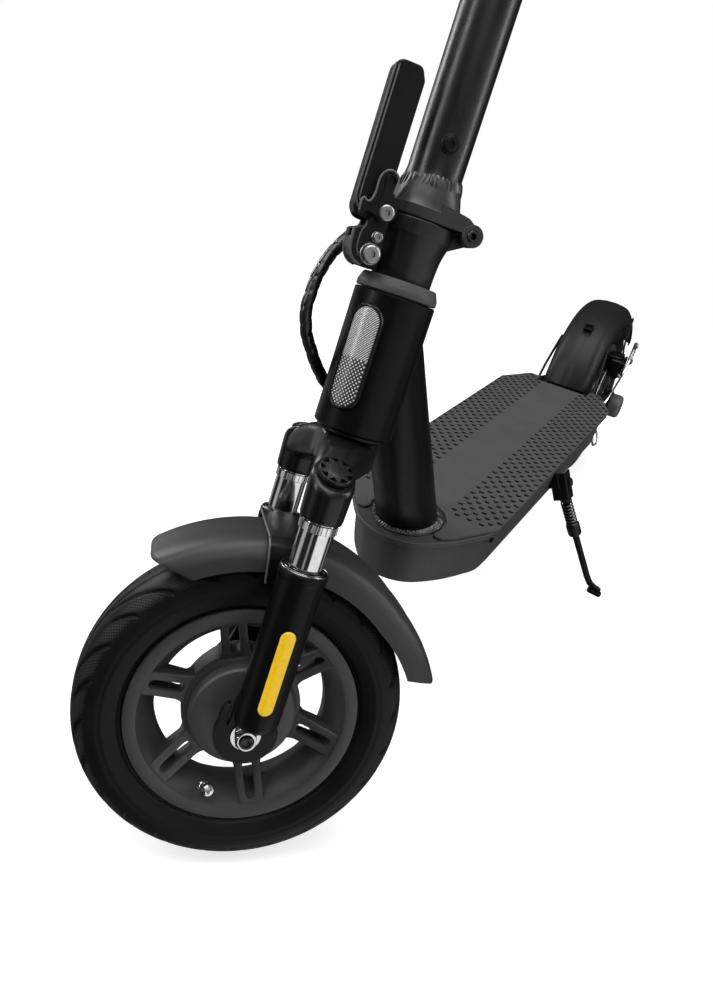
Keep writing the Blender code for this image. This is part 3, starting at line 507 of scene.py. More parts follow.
def plastic(name, base, rough, spec=0.4, grain=0.7, bump=0.05):
    """Moulded plastic with a fine leather grain."""
    m = Mat(name)
    cells = m.voronoi(grain, "SMOOTH_F1")
    broad = m.noise(55, 3)
    c = m.mix(m.map(broad, 0.3, 0.7, 0, 1), base, tuple(q * 1.35 for q in base))
    m.color(m.mix(m.map(cells, 0.0, 0.5, 0.35, 0), c, tuple(q * 0.55 for q in base)))
    m.rough(m.map(cells, 0.0, 0.6, rough + 0.06, rough - 0.05))
    m.bump(cells, bump, 0.6)
    m.set(Specular_IOR_Level=spec)
    return m.m


M["fender"] = plastic("fender_plastic", (0.0255, 0.0255, 0.0263), 0.48)
M["fender_rear"] = plastic("rear_fender_plastic", (0.0095, 0.0095, 0.0098), 0.44, 0.24)
M["fender_in"] = plastic("fender_inner_plastic", (0.008, 0.008, 0.0085), 0.6)
M["plastic"] = plastic("housing_plastic", (0.008, 0.008, 0.0085), 0.4)
M["cap"] = plastic("axle_cap_plastic", (0.09, 0.09, 0.094), 0.42)
M["knob"] = plastic("knob_plastic", (0.010, 0.010, 0.011), 0.32, 0.5, grain=0.5, bump=0.02)


def rubber(name, base, rough, spec=0.3, fine=0.6, bump=0.06, dust=1.8):
    """Vulcanised rubber: fine tooth, bloom and lighter dust patches from noise."""
    m = Mat(name)
    f = m.noise(fine, 4, 0.65)
    bloom = m.noise(24, 4, 0.6)
    c = m.mix(m.map(bloom, 0.4, 0.75, 0, 1), base, tuple(q * dust for q in base))
    m.color(m.mix(m.map(f, 0.5, 0.8, 0, 0.4), c, tuple(q * (1 + dust * 0.5) for q in base)))
    m.rough(m.map(bloom, 0.3, 0.7, rough - 0.05, rough + 0.07))
    m.bump(f, bump)
    m.set(Specular_IOR_Level=spec)
    return m.m


M["rubber"] = rubber("black_rubber", (0.006, 0.006, 0.006), 0.55)
M["mat"] = rubber("deck_mat_rubber", (0.060, 0.060, 0.061), 0.62, 0.25, fine=1.1, bump=0.04, dust=1.12)
# near-black rubber: painted shade on the nose-facing front walls of the mat's raised dots
M["mat_dark"] = rubber("deck_mat_painted_shade", (0.0022, 0.0022, 0.0023), 0.8, 0.08)
M["cable"] = rubber("spiral_wrap", (0.005, 0.005, 0.005), 0.26, 0.6, fine=1.5, bump=0.02)


def metal(name, base, rough, brushed=None, spots=0.0, bump=0.012):
    m = Mat(name)
    n = m.noise(3.0, 4, 0.6, stretch=brushed or (1, 1, 1))
    broad = m.noise(14, 3)
    c = m.mix(m.map(broad, 0.35, 0.7, 0, 1), base, tuple(q * 0.82 for q in base))
    m.color(m.mix(m.map(n, 0.58, 0.72, 0, 0.5), c, tuple(q * 0.6 for q in base)))
    m.rough(m.map(n, 0.3, 0.7, rough, rough + 0.08))
    m.bump(n, bump)
    m.set(Metallic=1.0)
    return m.m


M["chrome"] = metal("chrome_plate", (0.78, 0.78, 0.79), 0.06, bump=0.003)
M["zinc"] = metal("zinc_plated_steel", (0.34, 0.34, 0.35), 0.30)
# steel for the thin rings that stand for the glint on the fork legs' top edges
M["ring"] = metal("edge_glint_ring_steel", (0.30, 0.30, 0.31), 0.26)
M["disc"] = metal("ground_steel", (0.42, 0.42, 0.43), 0.28, brushed=(0.2, 3, 3))
M["dark_steel"] = metal("blackened_steel", (0.06, 0.06, 0.062), 0.3)
M["spring"] = metal("oiled_spring", (0.13, 0.13, 0.135), 0.26)
M["copper"] = metal("motor_copper", (0.55, 0.26, 0.12), 0.35)
# black-painted weld bead: its own rough paint grain, with a lighter speckled base that paints the sparkle of light on
# its ripples
M["weld"] = coat_black("black_weld_painted_sparkle", (0.016, 0.016, 0.0165), 0.24, 0.8, grain=1.4, bump=0.35, lift=2.2)
M["weld2"] = coat_black("weld_bead_satin", (0.020, 0.020, 0.0205), 0.30, 0.60, grain=1.6, bump=0.12, lift=1.35)
M["foot"] = coat_black("foot_satin", (0.0085, 0.0085, 0.0088), 0.36, 0.42, grain=1.4, bump=0.05)
# near black: the fender hook button's own colour, and painted shade on the small blocks standing for holes in the
# deck's sides
M["dark"] = coat_black("near_black_plug_and_hole_shade", (0.0015, 0.0015, 0.0015), 0.6, 0.1)


def tyre_mat():
    """Tyre rubber: dull black, a fine diamond tooth in the shoulder patches, fine mottling over the whole surface, and
    painted shade in the grooves.
    """
    m = Mat("tyre_rubber")
    f = m.noise(0.8, 4, 0.65)
    bloom = m.noise(30, 4, 0.6)
    c = m.mix(m.map(bloom, 0.4, 0.75, 0, 1), (0.0042, 0.0042, 0.0042), (0.0075, 0.0075, 0.0075))
    at = m.node("ShaderNodeAttribute", attribute_type="GEOMETRY", attribute_name="patch")
    uvn = m.node("ShaderNodeUVMap", uv_map="tread")
    chk = m.node("ShaderNodeTexChecker")
    chk.inputs["Scale"].default_value = 1.0
    m.link(uvn.outputs[0], chk.inputs["Vector"])
    tooth = m.math("MULTIPLY", chk.outputs["Fac"], at.outputs["Fac"])
    c = m.mix(m.math("MULTIPLY", m.math("MAXIMUM", tooth, 0.0), 0.7), c, (0.040, 0.040, 0.040))
    # painted shade: where the patch attribute is negative, in the grooves, the colour goes near black
    m.color(m.mix(m.map(at.outputs["Fac"], -0.9, -0.2, 1, 0), c, (0.0010, 0.0010, 0.0010)))
    m.rough(m.map(bloom, 0.3, 0.7, 0.42, 0.56))
    m.bump(f, 0.05)
    m.bump(tooth, 0.25, 0.6)
    m.set(Specular_IOR_Level=0.17)
    return m.m


def amber_mat():
    """Prismatic reflector sheet: amber with small hexagonal cells, and a painted glow from emission."""
    m = Mat("amber_reflector")
    cells = m.voronoi(1.5, "DISTANCE_TO_EDGE", rand=0.12)
    tone = m.voronoi(1.5, "F1", rand=0.12, out="Color")
    g = m.node("ShaderNodeSeparateColor")
    m.link(tone, g.inputs[0])
    c = m.mix(m.map(g.outputs[0], 0, 1, 0, 1), (0.72, 0.42, 0.002), (0.86, 0.54, 0.004))
    m.color(m.mix(m.map(cells, 0.02, 0.10, 0.5, 0), c, (0.60, 0.33, 0.001)))
    # painted glow: amber emission, though the reflector is no lamp
    m.set(Emission_Color=(1.0, 0.62, 0.004, 1), Emission_Strength=0.30)
    m.rough(m.map(cells, 0.0, 0.2, 0.38, 0.16))
    m.bump(cells, 0.06)
    m.set(Specular_IOR_Level=0.5, Coat_Weight=0.25, Coat_Roughness=0.12)
    return m.m


def amber_edge():
    m = Mat("amber_border")
    n = m.noise(1.2, 3)
    m.color(m.mix(m.map(n, 0.3, 0.7, 0, 1), (0.90, 0.66, 0.10), (0.95, 0.74, 0.16)))
    m.rough(m.map(n, 0.3, 0.7, 0.25, 0.4))
    m.bump(n, 0.02)
    return m.m


def white_reflector():
    """Upper half: fine slanted prisms. Lower half: a lattice of corner cubes. The bright lines and cube dots on a dark
    ground are painted glints and shade over the real prism pattern, and the sheet also glows by emission.
    """
    m = Mat("clear_reflector")
    s, w = m.dot(X, H0), m.dot(W, H0)
    d1 = m.math("ADD", m.math("MULTIPLY", s, 0.66), m.math("MULTIPLY", w, -0.56))
    st = m.math("PINGPONG", d1, 0.56)
    st = m.map(st, 0.14, 0.40, 0, 1)
    st = m.math("MULTIPLY", st, m.map(m.noise(0.8, 2), 0.25, 0.7, 0.45, 1.0))
    p1 = m.math("PINGPONG", m.math("ADD", s, m.math("MULTIPLY", w, 0.86)), 1.45)
    p2 = m.math("PINGPONG", m.math("SUBTRACT", s, m.math("MULTIPLY", w, 0.86)), 1.45)
    cube_glints = m.map(m.math("MINIMUM", p1, p2), 0.58, 1.05, 0, 1)
    up_ = m.map(w, 51.0, 51.6, 0, 1)
    pat = m.math("ADD", m.math("MULTIPLY", st, up_), m.math("MULTIPLY", cube_glints, m.math("SUBTRACT", 1.0, up_)))
    # bright prism lines and cube dots on a dark ground: painted glints and shade over the prism pattern
    c = m.mix(pat, (0.012, 0.012, 0.013), (0.70, 0.70, 0.71))
    m.color(c)
    # painted glow: the pattern colour is also emitted, though the reflector is no lamp
    m.set(Emission_Strength=0.27)
    m.link(c, m.b.inputs["Emission Color"])
    m.rough(m.map(pat, 0, 1, 0.32, 0.16))
    m.bump(pat, 0.35, 0.6)
    m.set(Specular_IOR_Level=0.6, Coat_Weight=0.4, Coat_Roughness=0.05)
    return m.m


def lens_mat(name, base, rough=0.08):
    m = Mat(name)
    p = m.math("PINGPONG", m.dot(X), 1.6)
    q = m.math("PINGPONG", m.dot(Z), 1.6)
    f = m.math("ADD", p, q)
    m.color(m.mix(m.map(f, 0, 2, 0, 1), base, tuple(q * 0.6 for q in base)))
    m.rough(m.map(f, 0, 2.4, rough, rough + 0.12))
    m.bump(f, 0.3, 0.6)
    m.set(Specular_IOR_Level=0.5, Coat_Weight=0.6, Coat_Roughness=0.04)
    return m.m


def spiral_plastic():
    return M["cable"]


M["tyre"] = tyre_mat()
M["amber"] = amber_mat()
M["amber_edge"] = amber_edge()
M["white"] = white_reflector()
M["red"] = lens_mat("red_lens_prisms", (0.28, 0.008, 0.008))
M["clear"] = lens_mat("lamp_lens_prisms", (0.55, 0.56, 0.58))
# ---------------------------------------------------------------- deck
ZT = DECK_TOP - MAT_T
NOSE = [(0, 221.5), (16, 224.5), (31, 232.5), (44, 246), (58, 265.5), (70, 288), (77.5, 306)]
_q = smooth_path([(-31, 232.5, 0), (-16, 224.5, 0)] + [(x, y, 0) for x, y in NOSE] + [(79, 330, 0)], 150)
NOSE_D = [(float(p[0]), float(p[1])) for p in _q if p[0] > 0.4 and p[1] < 326]


def deck_outline(k=0.0, notch=True, end=798.0):
    left = [(max(x - k * (0.35 + 0.65 * min(x, 77.5) / 77.5), 0.1), y + k * (1 - 0.6 * min(x, 77.5) / 77.5)) for x, y in NOSE_D]
    tail = [(79 - k, 330), (79 - k, DECK_TAPER), (52 - k * 0.8, DECK_END + 2), (52 - k * 0.8, end)]
    if notch:
        tail += [(37.5 + k * 0.3, end), (37.5 + k * 0.3, 771 + k * 0.3)]
    tail = [tuple(p) for p in round_poly([left[-1]] + tail + [(0, 760)], [0, 0, 14, 8, 2] + ([2, 3] if notch else []) + [0], 5)[1:-1]]
    left += tail
    return [(0, NOSE[0][1] + k)] + left + [(-x, y) for x, y in reversed(left)]


def flat_stack(secs, notch=True, end=798.0):
    loops = []
    for z, k in secs:
        p = np.array(deck_outline(k, notch, end))
        loops.append(np.c_[p, np.full(len(p), z)])
    return loft(loops)


piece("deck_body", [flat_stack([(153.6, 11.5), (154.2, 10.0), (156.0, 9.0), (160, 8.4), (197.6, 5.2), (198.2, 5.2)]),
                    flat_stack([(198.15, 1.6), (198.5, 0.6), (199.2, 0.0), (203.5, 0.0), (204.2, 0.7)])],
      M["deck"], "frame", ("deck_shell", "deck_cover"), angle=28)
piece("deck_bottom_cover", flat_stack([(152.9, 14.5), (153.2, 13.6), (154.6, 13.4)], False, 768), M["plastic"], "frame", angle=28)
# painted shade: a near-black block on each side of the nose stands for the shadow in a small hole there
piece("deck_side_hole_shade", [box(vec(75.6 * s, 309, 194.4), X, unit(vec(0, 1, 0.5)), unit(vec(0, -0.5, 1)), 1.3, 2.2, 3.4, 0.5) for s in (1, -1)], M["dark"], "frame", angle=30)

left = [(14, 307.5), (27, 298), (35.5, 283), (37.5, 267), (34.5, 256), (37.5, 250.2), (45, 251), (53.5, 261), (66, 283.5), (77, 303.5), (80.2, 310),
        (80.2, DECK_TAPER), (54, DECK_END), (38, DECK_END), (38, 771.5)]
rr = [6, 9, 9, 8, 4, 4, 5, 9, 20, 5, 4, 10, 5, 2, 3]
full = [(0, 311)] + left + [(-x, y) for x, y in reversed(left)]
MAT_LINE = round_poly(full, [20] + rr + rr[::-1], 5)


def inside(poly, x, y):
    c, j = False, len(poly) - 1
    for i in range(len(poly)):
        if (poly[i][1] > y) != (poly[j][1] > y) and x < (poly[j][0] - poly[i][0]) * (y - poly[i][1]) / (poly[j][1] - poly[i][1]) + poly[i][0]:
            c = not c
        j = i
    return c


def clear_of_edge(poly, x, y, d):
    return all(inside(poly, x + dx, y + dy) for dx, dy in ((d, 0), (-d, 0), (0, d), (0, -d), (d * .7, d * .7), (-d * .7, -d * .7), (d * .7, -d * .7), (-d * .7, d * .7)))


geos = [plate(MAT_LINE, vec(0, 0, 0), X, Y, Z, ZT + 0.05, DECK_TOP, 0.55)]
n = 14
ang = np.arange(n) * 2 * math.pi / n
for k in range(62):
    for x0, yo in ((37.4, 304.8), (30.9, 312.8)):
        for i in range(4):
            for s in (1, -1):
                x, y = s * (x0 + 13.0 * i), yo + 16.0 * k
                if y > 786 or not clear_of_edge(MAT_LINE, x, y, 3.4):
                    continue
                front = -np.sin(ang)                      # 1 towards the nose
                base_r = 2.85 + 0.65 * np.maximum(front, 0)
                top_r = 2.55 - 0.65 * np.maximum(front, 0) ** 0.7
                top_h = 0.04 + 1.25 * (0.5 + 0.5 * front) ** 1.3
                b = np.c_[x + base_r * np.cos(ang), y + base_r * np.sin(ang), np.full(n, DECK_TOP - 0.03)]
                t = np.c_[x + top_r * np.cos(ang), y + top_r * np.sin(ang), DECK_TOP + top_h]
                v = np.vstack([b, t, [[x, y, DECK_TOP + 0.62]]])
                f = [(j, (j + 1) % n, n + (j + 1) % n, n + j) for j in range(n)]
                # nose-facing walls of each dot take the second material: painted shade
                mi = [1 if 0.5 * (front[j] + front[(j + 1) % n]) > -0.05 else 0 for j in range(n)]
                f += [(n + j, n + (j + 1) % n, 2 * n) for j in range(n)] + [tuple(reversed(range(n)))]
                geos.append((v, f, mi + [0] * (n + 1)))
piece("deck_mat_dotted", geos, [M["mat"], M["mat_dark"]], "frame", "deck_mat", angle=38)

# ---------------------------------------------------------------- neck and head tube
a0, b0 = vec(0, 269, ZT), F(0, 0, 84)
prof_t = np.array([0, 0.012, 0.03, 0.3, 0.6, 0.92])
prof_r = np.array([33.0, 33.0, 29.5, 27.6, 25.5, 23.6])
loops = []
for t in [0, 0.006, 0.012, 0.02, 0.03, 0.05, 0.1, 0.2, 0.3, 0.4, 0.5, 0.6, 0.7, 0.8, 0.92]:
    r = float(np.interp(t, [0, 0.03, 0.08, 0.3, 0.6, 0.92], [29.6, 29.2, 28.9, 27.6, 25.5, 23.6]))
    loops.append(ring(a0 + (b0 - a0) * t, X, Y, r, r * 1.12, 80))
piece("neck_and_head_tube", lathe([(HT_R - 0.9, 0), (HT_R, 0.9), (HT_R, HT_LEN - 0.9), (HT_R - 0.9, HT_LEN)], H0, W, 88, ab=(X, V0)), M["frame"], "frame", "frame_neck",
      add=[loft(loops)], cut=[lathe([(22, -1), (22, HT_LEN + 1)], H0, W, 64, ab=(X, V0))], angle=28)


def weld_ring(path, nrm, wide, high, pitch_n, ripple, n=18, seed=1.0, bow=0.45):
    """Weld bead along a closed path: stacked crescents, each one bowed across the bead."""
    m = len(path)
    t = np.roll(path, -1, 0) - np.roll(path, 1, 0)
    t /= np.linalg.norm(t, axis=1)[:, None]
    th_ = np.arange(n) * 2 * math.pi / n
    cx, sx = np.cos(th_), np.sin(th_)
    loops = []
    for i in range(m):
        ph = i / m * pitch_n
        wob = 0.10 * math.sin(ph * 1.7 + seed) + 0.07 * math.sin(ph * 0.61 + 2 * seed)
        k = (ph + bow * cx * cx + 0.06 * np.sin(ph * 2.3 + cx * 2)) % 1.0
        scal = np.clip(k / 0.82, 0, 1) ** 0.7 * np.clip((1 - k) / 0.16, 0, 1)
        b = unit(np.cross(t[i], nrm[i]))
        h_ = high * (1 + wob) * np.where(sx > 0, 1, 0.5) * sx + ripple * scal * np.clip(sx, 0, 1) ** 0.6
        loops.append(path[i] + np.outer(cx * wide * (1 + 0.5 * wob) * (0.92 + 0.08 * scal), b) + np.outer(h_, nrm[i]))
    return loft(loops, True)


th = np.arange(760) * 2 * math.pi / 760
p = np.c_[np.cos(th) * 31.0, 269.4 + np.sin(th) * 34.6, np.full(760, ZT + 2.0)]
nn = np.c_[np.cos(th) * 0.62, np.sin(th) * 0.62, np.full(760, 0.78)]
piece("neck_weld", weld_ring(p, nn, 4.6, 1.9, 72, 1.15), M["weld"], "frame", angle=42)

# ---------------------------------------------------------------- head tube reflector
def pill_patch(fn_pt, hw, w0, w1, lift_edge, lift_mid, nu=14, nw=44):
    """Domed pill: outline sampled as rows across; fn_pt(s, w, out) gives the point."""
    ws = w0 + (w1 - w0) * (1 - np.cos(np.linspace(0, math.pi, nw))) / 2
    loops_t = []
    for w in ws:
        e_ = min(w - w0, w1 - w)
        h = hw if e_ >= hw else math.sqrt(max(hw * hw - (hw - e_) ** 2, 0.02))
        pts = []
        for q in np.linspace(-1, 1, nu):
            s = h * q
            d = min(hw - abs(s), max(e_, 0.0)) if e_ < hw else hw - abs(s)
            rr_ = math.hypot(s, max(hw - e_, 0)) if e_ < hw else abs(s)
            d = max(hw - rr_, 0)
            k = min(d / 1.6, 1.0)
            pts.append(fn_pt(s, w, lift_edge + (lift_mid - lift_edge) * math.sqrt(1 - (1 - k) ** 2)))
        for q in np.linspace(1, -1, nu):
            pts.append(fn_pt(h * q, w, 0.0))
        loops_t.append(np.array(pts))
    return loft(loops_t)


TH0 = math.radians(-4.5)


def on_tube(s, w, out, rad=HT_R):
    t = TH0 + s / rad
    return F((rad + 0.05 + out) * math.sin(t), -(rad + 0.05 + out) * math.cos(t), w)


piece("front_reflector_lens", pill_patch(on_tube, 10.3, 16.6, 87.0, 0.9, 1.9), M["white"], "frame", "front_reflector", angle=50)
b_out = []
for k in range(120):
    t = 2 * math.pi * k / 120
    c_, s_ = math.cos(t), math.sin(t)
    wc = 51.8 + (24.9 if s_ > 0 else -24.9)
    pts = []
    for rr_, out in ((10.35, 0.0), (10.35, 1.9), (10.9, 2.3), (11.8, 2.1), (12.6, 1.2), (13.0, 0.0)):
        pts.append(on_tube(rr_ * c_, wc + rr_ * s_, out))
    b_out.append(np.array(pts))
piece("front_reflector_bezel", loft(b_out, True), M["gloss"], "frame", angle=35)

# ---------------------------------------------------------------- rear end
drop = round_poly([(800, 168), (800, 196), (835, 192), (880, 184), (905, 184), (923, 178), (929, 163), (923, 148), (905, 141), (880, 146), (840, 160)],
                  [1, 1, 10, 20, 10, 9, 12, 9, 12, 14, 14], 5)
for s, n in ((1, "left"), (-1, "right")):
    piece("dropout_plate_" + n, plate(drop, vec(0, 0, 0), Y, Z, X, 43.5 * s, 51.5 * s, 0.8), M["plate_black"], "frame", "rear_dropout_" + n,
          cut=[lathe([(6.3, -70), (6.3, 70)], REAR_C, X, 32), plate(rounded(16, 3.4, 3.3), vec(0, 852, 177), unit(vec(0, 1, -0.16)), unit(vec(0, 0.16, 1)), X, 49.4 * s, 60 * s)])
piece("rear_axle_pin", lathe([(5.6, -60), (6.0, -59.4), (6.0, 59.4), (5.6, 60)], REAR_C, X, 32), M["zinc"], "frame", "rear_axle",
      add=[plate(hexagon(10.5), REAR_C, Y, Z, X, 51.8 * s if s > 0 else -59.5, 59.5 if s > 0 else -51.8, 0.6) for s in (1, -1)], bevel=0.3)
piece("axle_cap_cover", lathe([(17, 52.0), (17.7, 52.7), (18, 54.0), (18, 64.5), (17.2, 67), (15.5, 68.9), (13, 69.5), (0.6, 69.9)], REAR_C, X, 64), M["cap"], "frame", "axle_cap_left",
      cut=[lathe([(14.5, 50.0), (14.5, 62)], REAR_C, X, 48)], angle=40)


def fender_section(rc, hw, drop_, t, shoulder=10.0, n=9, crease=0.0):
    """Closed section of an inverted U with a rounded shoulder."""
    def curve(off):
        ctl = [(rc - drop_, hw - off), (rc - min(drop_ * 0.62, shoulder + 6) - off * 0.2, hw - 0.6 - off), (rc - 7.5 - off * 0.6, hw - shoulder * 0.42 - off * 0.8),
               (rc - 2.6 - off, hw - shoulder * 0.95 - off * 0.4), (rc - off, hw - shoulder * 2.0), (rc + crease - off, 0.0)]
        q = smooth_path([(x, y, 0) for x, y in ctl], n * 2)
        return [(float(x), float(y)) for x, y, _ in q]
    o, i = curve(0.0), curve(t)
    return o + [(r, -u) for r, u in reversed(o[:-1])] + [(r, -u) for r, u in i[:-1]] + list(reversed(i))


def arc_shell(c, fwd, up_, side, secs):
    loops = []
    for t, pts in secs:
        d = fwd * math.cos(t) + up_ * math.sin(t)
        loops.append(np.array([c + d * r + side * u for r, u in pts]))
    return loft(loops)


secs = []
for deg in np.linspace(160, 28, 67):
    t = math.radians(deg)
    rc = 146 + 9 * math.cos(t)
    dd = 26 + (0 if deg < 130 else (deg - 130) * 0.25)
    if deg < 60:
        dd = 26 - (60 - deg) * 0.3
    e_ = min(deg - 28, 160 - deg)
    sh = 1.0 if e_ > 6 else 1.0 - 0.05 * (1 - e_ / 6) ** 2
    secs.append((t, [(rc - (rc - r), u * sh) for r, u in fender_section(rc, 34.5, dd, 2.6, shoulder=13.5)]))
stays = []
for s in (1, -1):
    d = Y * math.cos(math.radians(62)) + Z * math.sin(math.radians(62))
    e_ = np.cross(X, d)
    q = smooth_path([REAR_C + d * r + X * x * s for r, x in ((138, 34.5), (112, 36.0), (90, 39.0), (76, 41.8), (40, 41.8), (24, 41.8))], 30)
    sec = rounded(5, 1.2, 0.9, 3)
    stays.append(loft([np.array([p + e_ * a_ + X * b_ for a_, b_ in sec]) for p in q]))
piece("rear_fender_shell", [arc_shell(REAR_C, Y, Z, X, secs)] + stays, M["fender_rear"], "frame", "rear_fender", angle=40)
t = math.radians(121)
d = Y * math.cos(t) + Z * math.sin(t)
e_ = np.cross(X, d)
rc = 146 + 9 * math.cos(t)
plug = []
for h, r, k in ((0.8, 7.4, 0), (3.6, 7.2, 0), (4.6, 6.8, 0), (5.0, 6.2, 0), (5.0, 4.2, 0), (2.6, 3.6, 0)):
    pts = []
    for j in range(64):
        q = 2 * math.pi * j / 64
        rad = r * (1 - 0.55 * max(0.0, 1 - abs(((q - math.pi * 1.5 + math.pi) % (2 * math.pi)) - math.pi) / 0.55))
        pts.append(REAR_C + d * (rc + h) + X * rad * math.cos(q) + e_ * rad * math.sin(q))
    plug.append(np.array(pts))
brace = []
for s_ in (1, -1):
    pa, pb, pc_ = vec(41.5 * s_, 792, 201), vec(40.5 * s_, 812, 224), vec(35.2 * s_, 838, 262)
    bp_ = smooth_path([pa, pb, pc_], 24)
    sec = rounded(4.2, 1.1, 0.8, 3)
    brace.append(loft([np.array([q_ + unit(vec(0, 1, -0.55)) * a_ + X * b_ for a_, b_ in sec]) for q_ in bp_]))
piece("fender_braces", brace, M["plate_black"], "frame", angle=40)
piece("fender_hook_button", loft(plug), M["dark"], "frame", "fender_hook_plug", angle=40,
      add=[sweep(smooth_path([REAR_C + d * (rc + 2) + e_ * 6 + X * -5, REAR_C + d * (rc + 6.2) + e_ * 8 + X * -4.0, REAR_C + d * (rc + 7.6) + e_ * 9 + X * 0.5, REAR_C + d * (rc + 6.2) + e_ * 8 + X * 5, REAR_C + d * (rc + 2) + e_ * 6 + X * 6], 18), 1.5, 10)])
t = math.radians(38)
d = Y * math.cos(t) + Z * math.sin(t)
e_ = np.cross(X, d)
rc = 146 + 9 * math.cos(t)
piece("tail_lamp", plate(rounded(24, 13, 6, 8), REAR_C + d * (rc + 1.2), X, e_, d, 0.0, 8, 1.2), M["red"], "frame", "tail_light", angle=30)
piece("tail_lamp_frame", plate(rounded(25.4, 14.4, 7, 8), REAR_C + d * (rc + 1.2), X, e_, d, 0.0, 3.2, 0.6), M["plastic"], "frame",
      cut=[plate(rounded(24.1, 13.1, 6, 8), REAR_C + d * (rc + 1.2), X, e_, d, -2, 9)])

# ---------------------------------------------------------------- rear brake
cb = vec(0, REAR_Y - 22, REAR_Z + 66)
piece("caliper_body", box(cb + X * 47.5, X, Y, Z, 7.5, 17, 14, 1.6), M["plate_black"], "frame", "brake_caliper",
      add=[box(cb + vec(41.5, 0, 14.6), X, Y, Z, 10.2, 15.3, 3.7, 0.8), box(cb + vec(33.4, 0, 4.3), X, Y, Z, 2.3, 14.6, 12.2, 0.6),
           lathe([(6, 0), (6, 1.8), (5.4, 2.3)], cb + vec(54, 14, 10), X, 32), box(cb + vec(57, -13, 8.3), X, Y, Z, 3.5, 4.2, 4.4, 0.7),
           lathe([(8.5, 0), (8.5, 3.0), (7, 4.2)], cb + vec(54, -2, -3), X, 40)],
      cut=[lathe([(5.2, 2.8), (5.2, 12)], cb + vec(54, -2, -3), X, 32)], bevel=0.5)
bolts = [lathe([(3.4, 0), (3.4, 2.4), (2.8, 3.0)], cb + vec(54.9, y_, z_), X, 24) for y_, z_ in ((-11, -9), (11.5, -9))]
bolts += [lathe([(4.6, 0), (4.6, 1.2), (3.4, 1.2), (3.4, 3.2), (2.9, 3.7)], cb + vec(56.4, -2, -3), X, 32)]
piece("caliper_screws", bolts, M["zinc"], "frame", angle=30)
ar = vec(58, REAR_Y - 8, REAR_Z + 76)
arm = round_poly([(-6, -6), (6, -6), (10, 8), (13, 22), (10, 28), (4, 28), (0, 18), (-5, 6)], [4, 4, 8, 5, 3, 3, 8, 6], 5)
piece("caliper_lever_arm", plate(arm, ar, Y, Z, X, 0.4, 4.6, 0.6), M["dark_steel"], "caliper_arm", "caliper_arm",
      cut=[lathe([(2.2, -5), (2.2, 8)], ar + vec(0, 7, 23), X, 24), plate(rounded(1.6, 5, 1.5), ar + vec(0, 3.4, 10), Y, Z, X, -2, 6)], angle=30)
piece("caliper_arm_bolts", [lathe([(4.2, 3.7), (4.2, 6.6), (3.6, 7.2)], ar, X, 6), lathe([(3.6, 3.7), (3.6, 6.2), (3.1, 6.8)], ar + vec(0, 7, 23), X, 24)], M["zinc"], "caliper_arm", angle=25)
pc, L_BRAKE = even_path([vec(54.5, 799.5, 186), vec(56, 804, 189), vec(60, 815, 197), vec(61.8, 842, 214), vec(62.4, 868, 229), vec(62.8, REAR_Y - 16, REAR_Z + 93.5)], 60)
rear_cable = piece("brake_cable_inner", sweep(pc, 1.5, 14), M["chrome"], "frame", "brake_cable_rear", angle=60)
piece("brake_cable_ferrules", [lathe([(2.9, 0), (2.9, 10), (2.2, 12)], pc[0] - unit(pc[1] - pc[0]) * 2, pc[1] - pc[0], 24),
                               lathe([(2.4, -14), (2.9, -12), (2.9, 0), (3.4, 0.6), (3.4, 2.2)], pc[-1], pc[-1] - pc[-2], 24)], M["zinc"], "frame", angle=30)
# the small wire loop under the deck's rear corner
lp = [vec(56, 765, 176), vec(66, 757, 171), vec(74, 748, 164), vec(76.5, 741, 157), vec(72.5, 741, 153), vec(68, 750, 159), vec(61, 760, 168), vec(54, 767, 173)]
piece("wire_loop", sweep(even_path(lp, 70)[0], 1.5, 12), M["chrome"], "frame", angle=60)

# ---------------------------------------------------------------- kickstand
kp = vec(82.0, 540.0, 172.0)
dk, d1 = unit(vec(76, 0, -158)), unit(vec(76, 50, -158))
kax = unit(np.cross(dk, Y))
e1 = np.cross(kax, d1)
o = kp
shell_cut = flat_stack([(150.0, 9.3), (197.7, 5.1), (197.8, -0.5), (204.6, -0.5)], False)
piece("kickstand_mount", box(o + Y * 0.2 + dk * 3, dk, kax, Y, 17, 9.8, 9.4, 1.2), M["plate_black"], "frame", "kickstand_bracket",
      add=[box(o + dk * (-5) - kax * 7 + Y * 0.4, dk, kax, Y, 9, 8, 10.4, 1.0)],
      cut=[box(o + dk * 3 + Y * 16.2, dk, kax, Y, 40, 7.6, 23.2), lathe([(3.3, -20), (3.3, 20)], o, kax, 28), shell_cut], bevel=0.5)
def floor_z(p):
    return float((p @ ROT.T)[2] + LIFT)
zf, z0 = floor_z(o + d1 * 100), floor_z(o)
length = (z0 - 5.3) / ((z0 - zf) / 100.0)
pts = [o - d1 * 5, o + d1 * 40, o + d1 * 80, o + d1 * (length - 34), o + d1 * (length - 20), o + d1 * (length - 10) + X * 1.2, o + d1 * (length - 5) + X * 4.5 - Y * 0.6, o + d1 * (length - 3.5) + X * 9 - Y * 1.6, o + d1 * (length - 3.0) + X * 14.5 - Y * 3.0]
kq = smooth_path(pts, 90)
kr = [4.1] * 90
for i in range(12):
    kr[89 - i] = 2.9 + 1.5 * math.sqrt(min(i / 9, 1))
fo = o + d1 * (length - 4) + X * 5
ff = fo @ ROT.T + vec(0, 0, LIFT)
ta, tb = from_floor(vec(ff[0] - 6, ff[1], 3.8)), from_floor(vec(ff[0] + 13, ff[1] - 2, 3.8))
toe = plate(rounded(9.4, 4.4, 3.9, 8), (ta + tb) / 2, unit(tb - ta), ROT.T @ Y, ROT.T @ Z, -3.8, 1.4, 0.9)
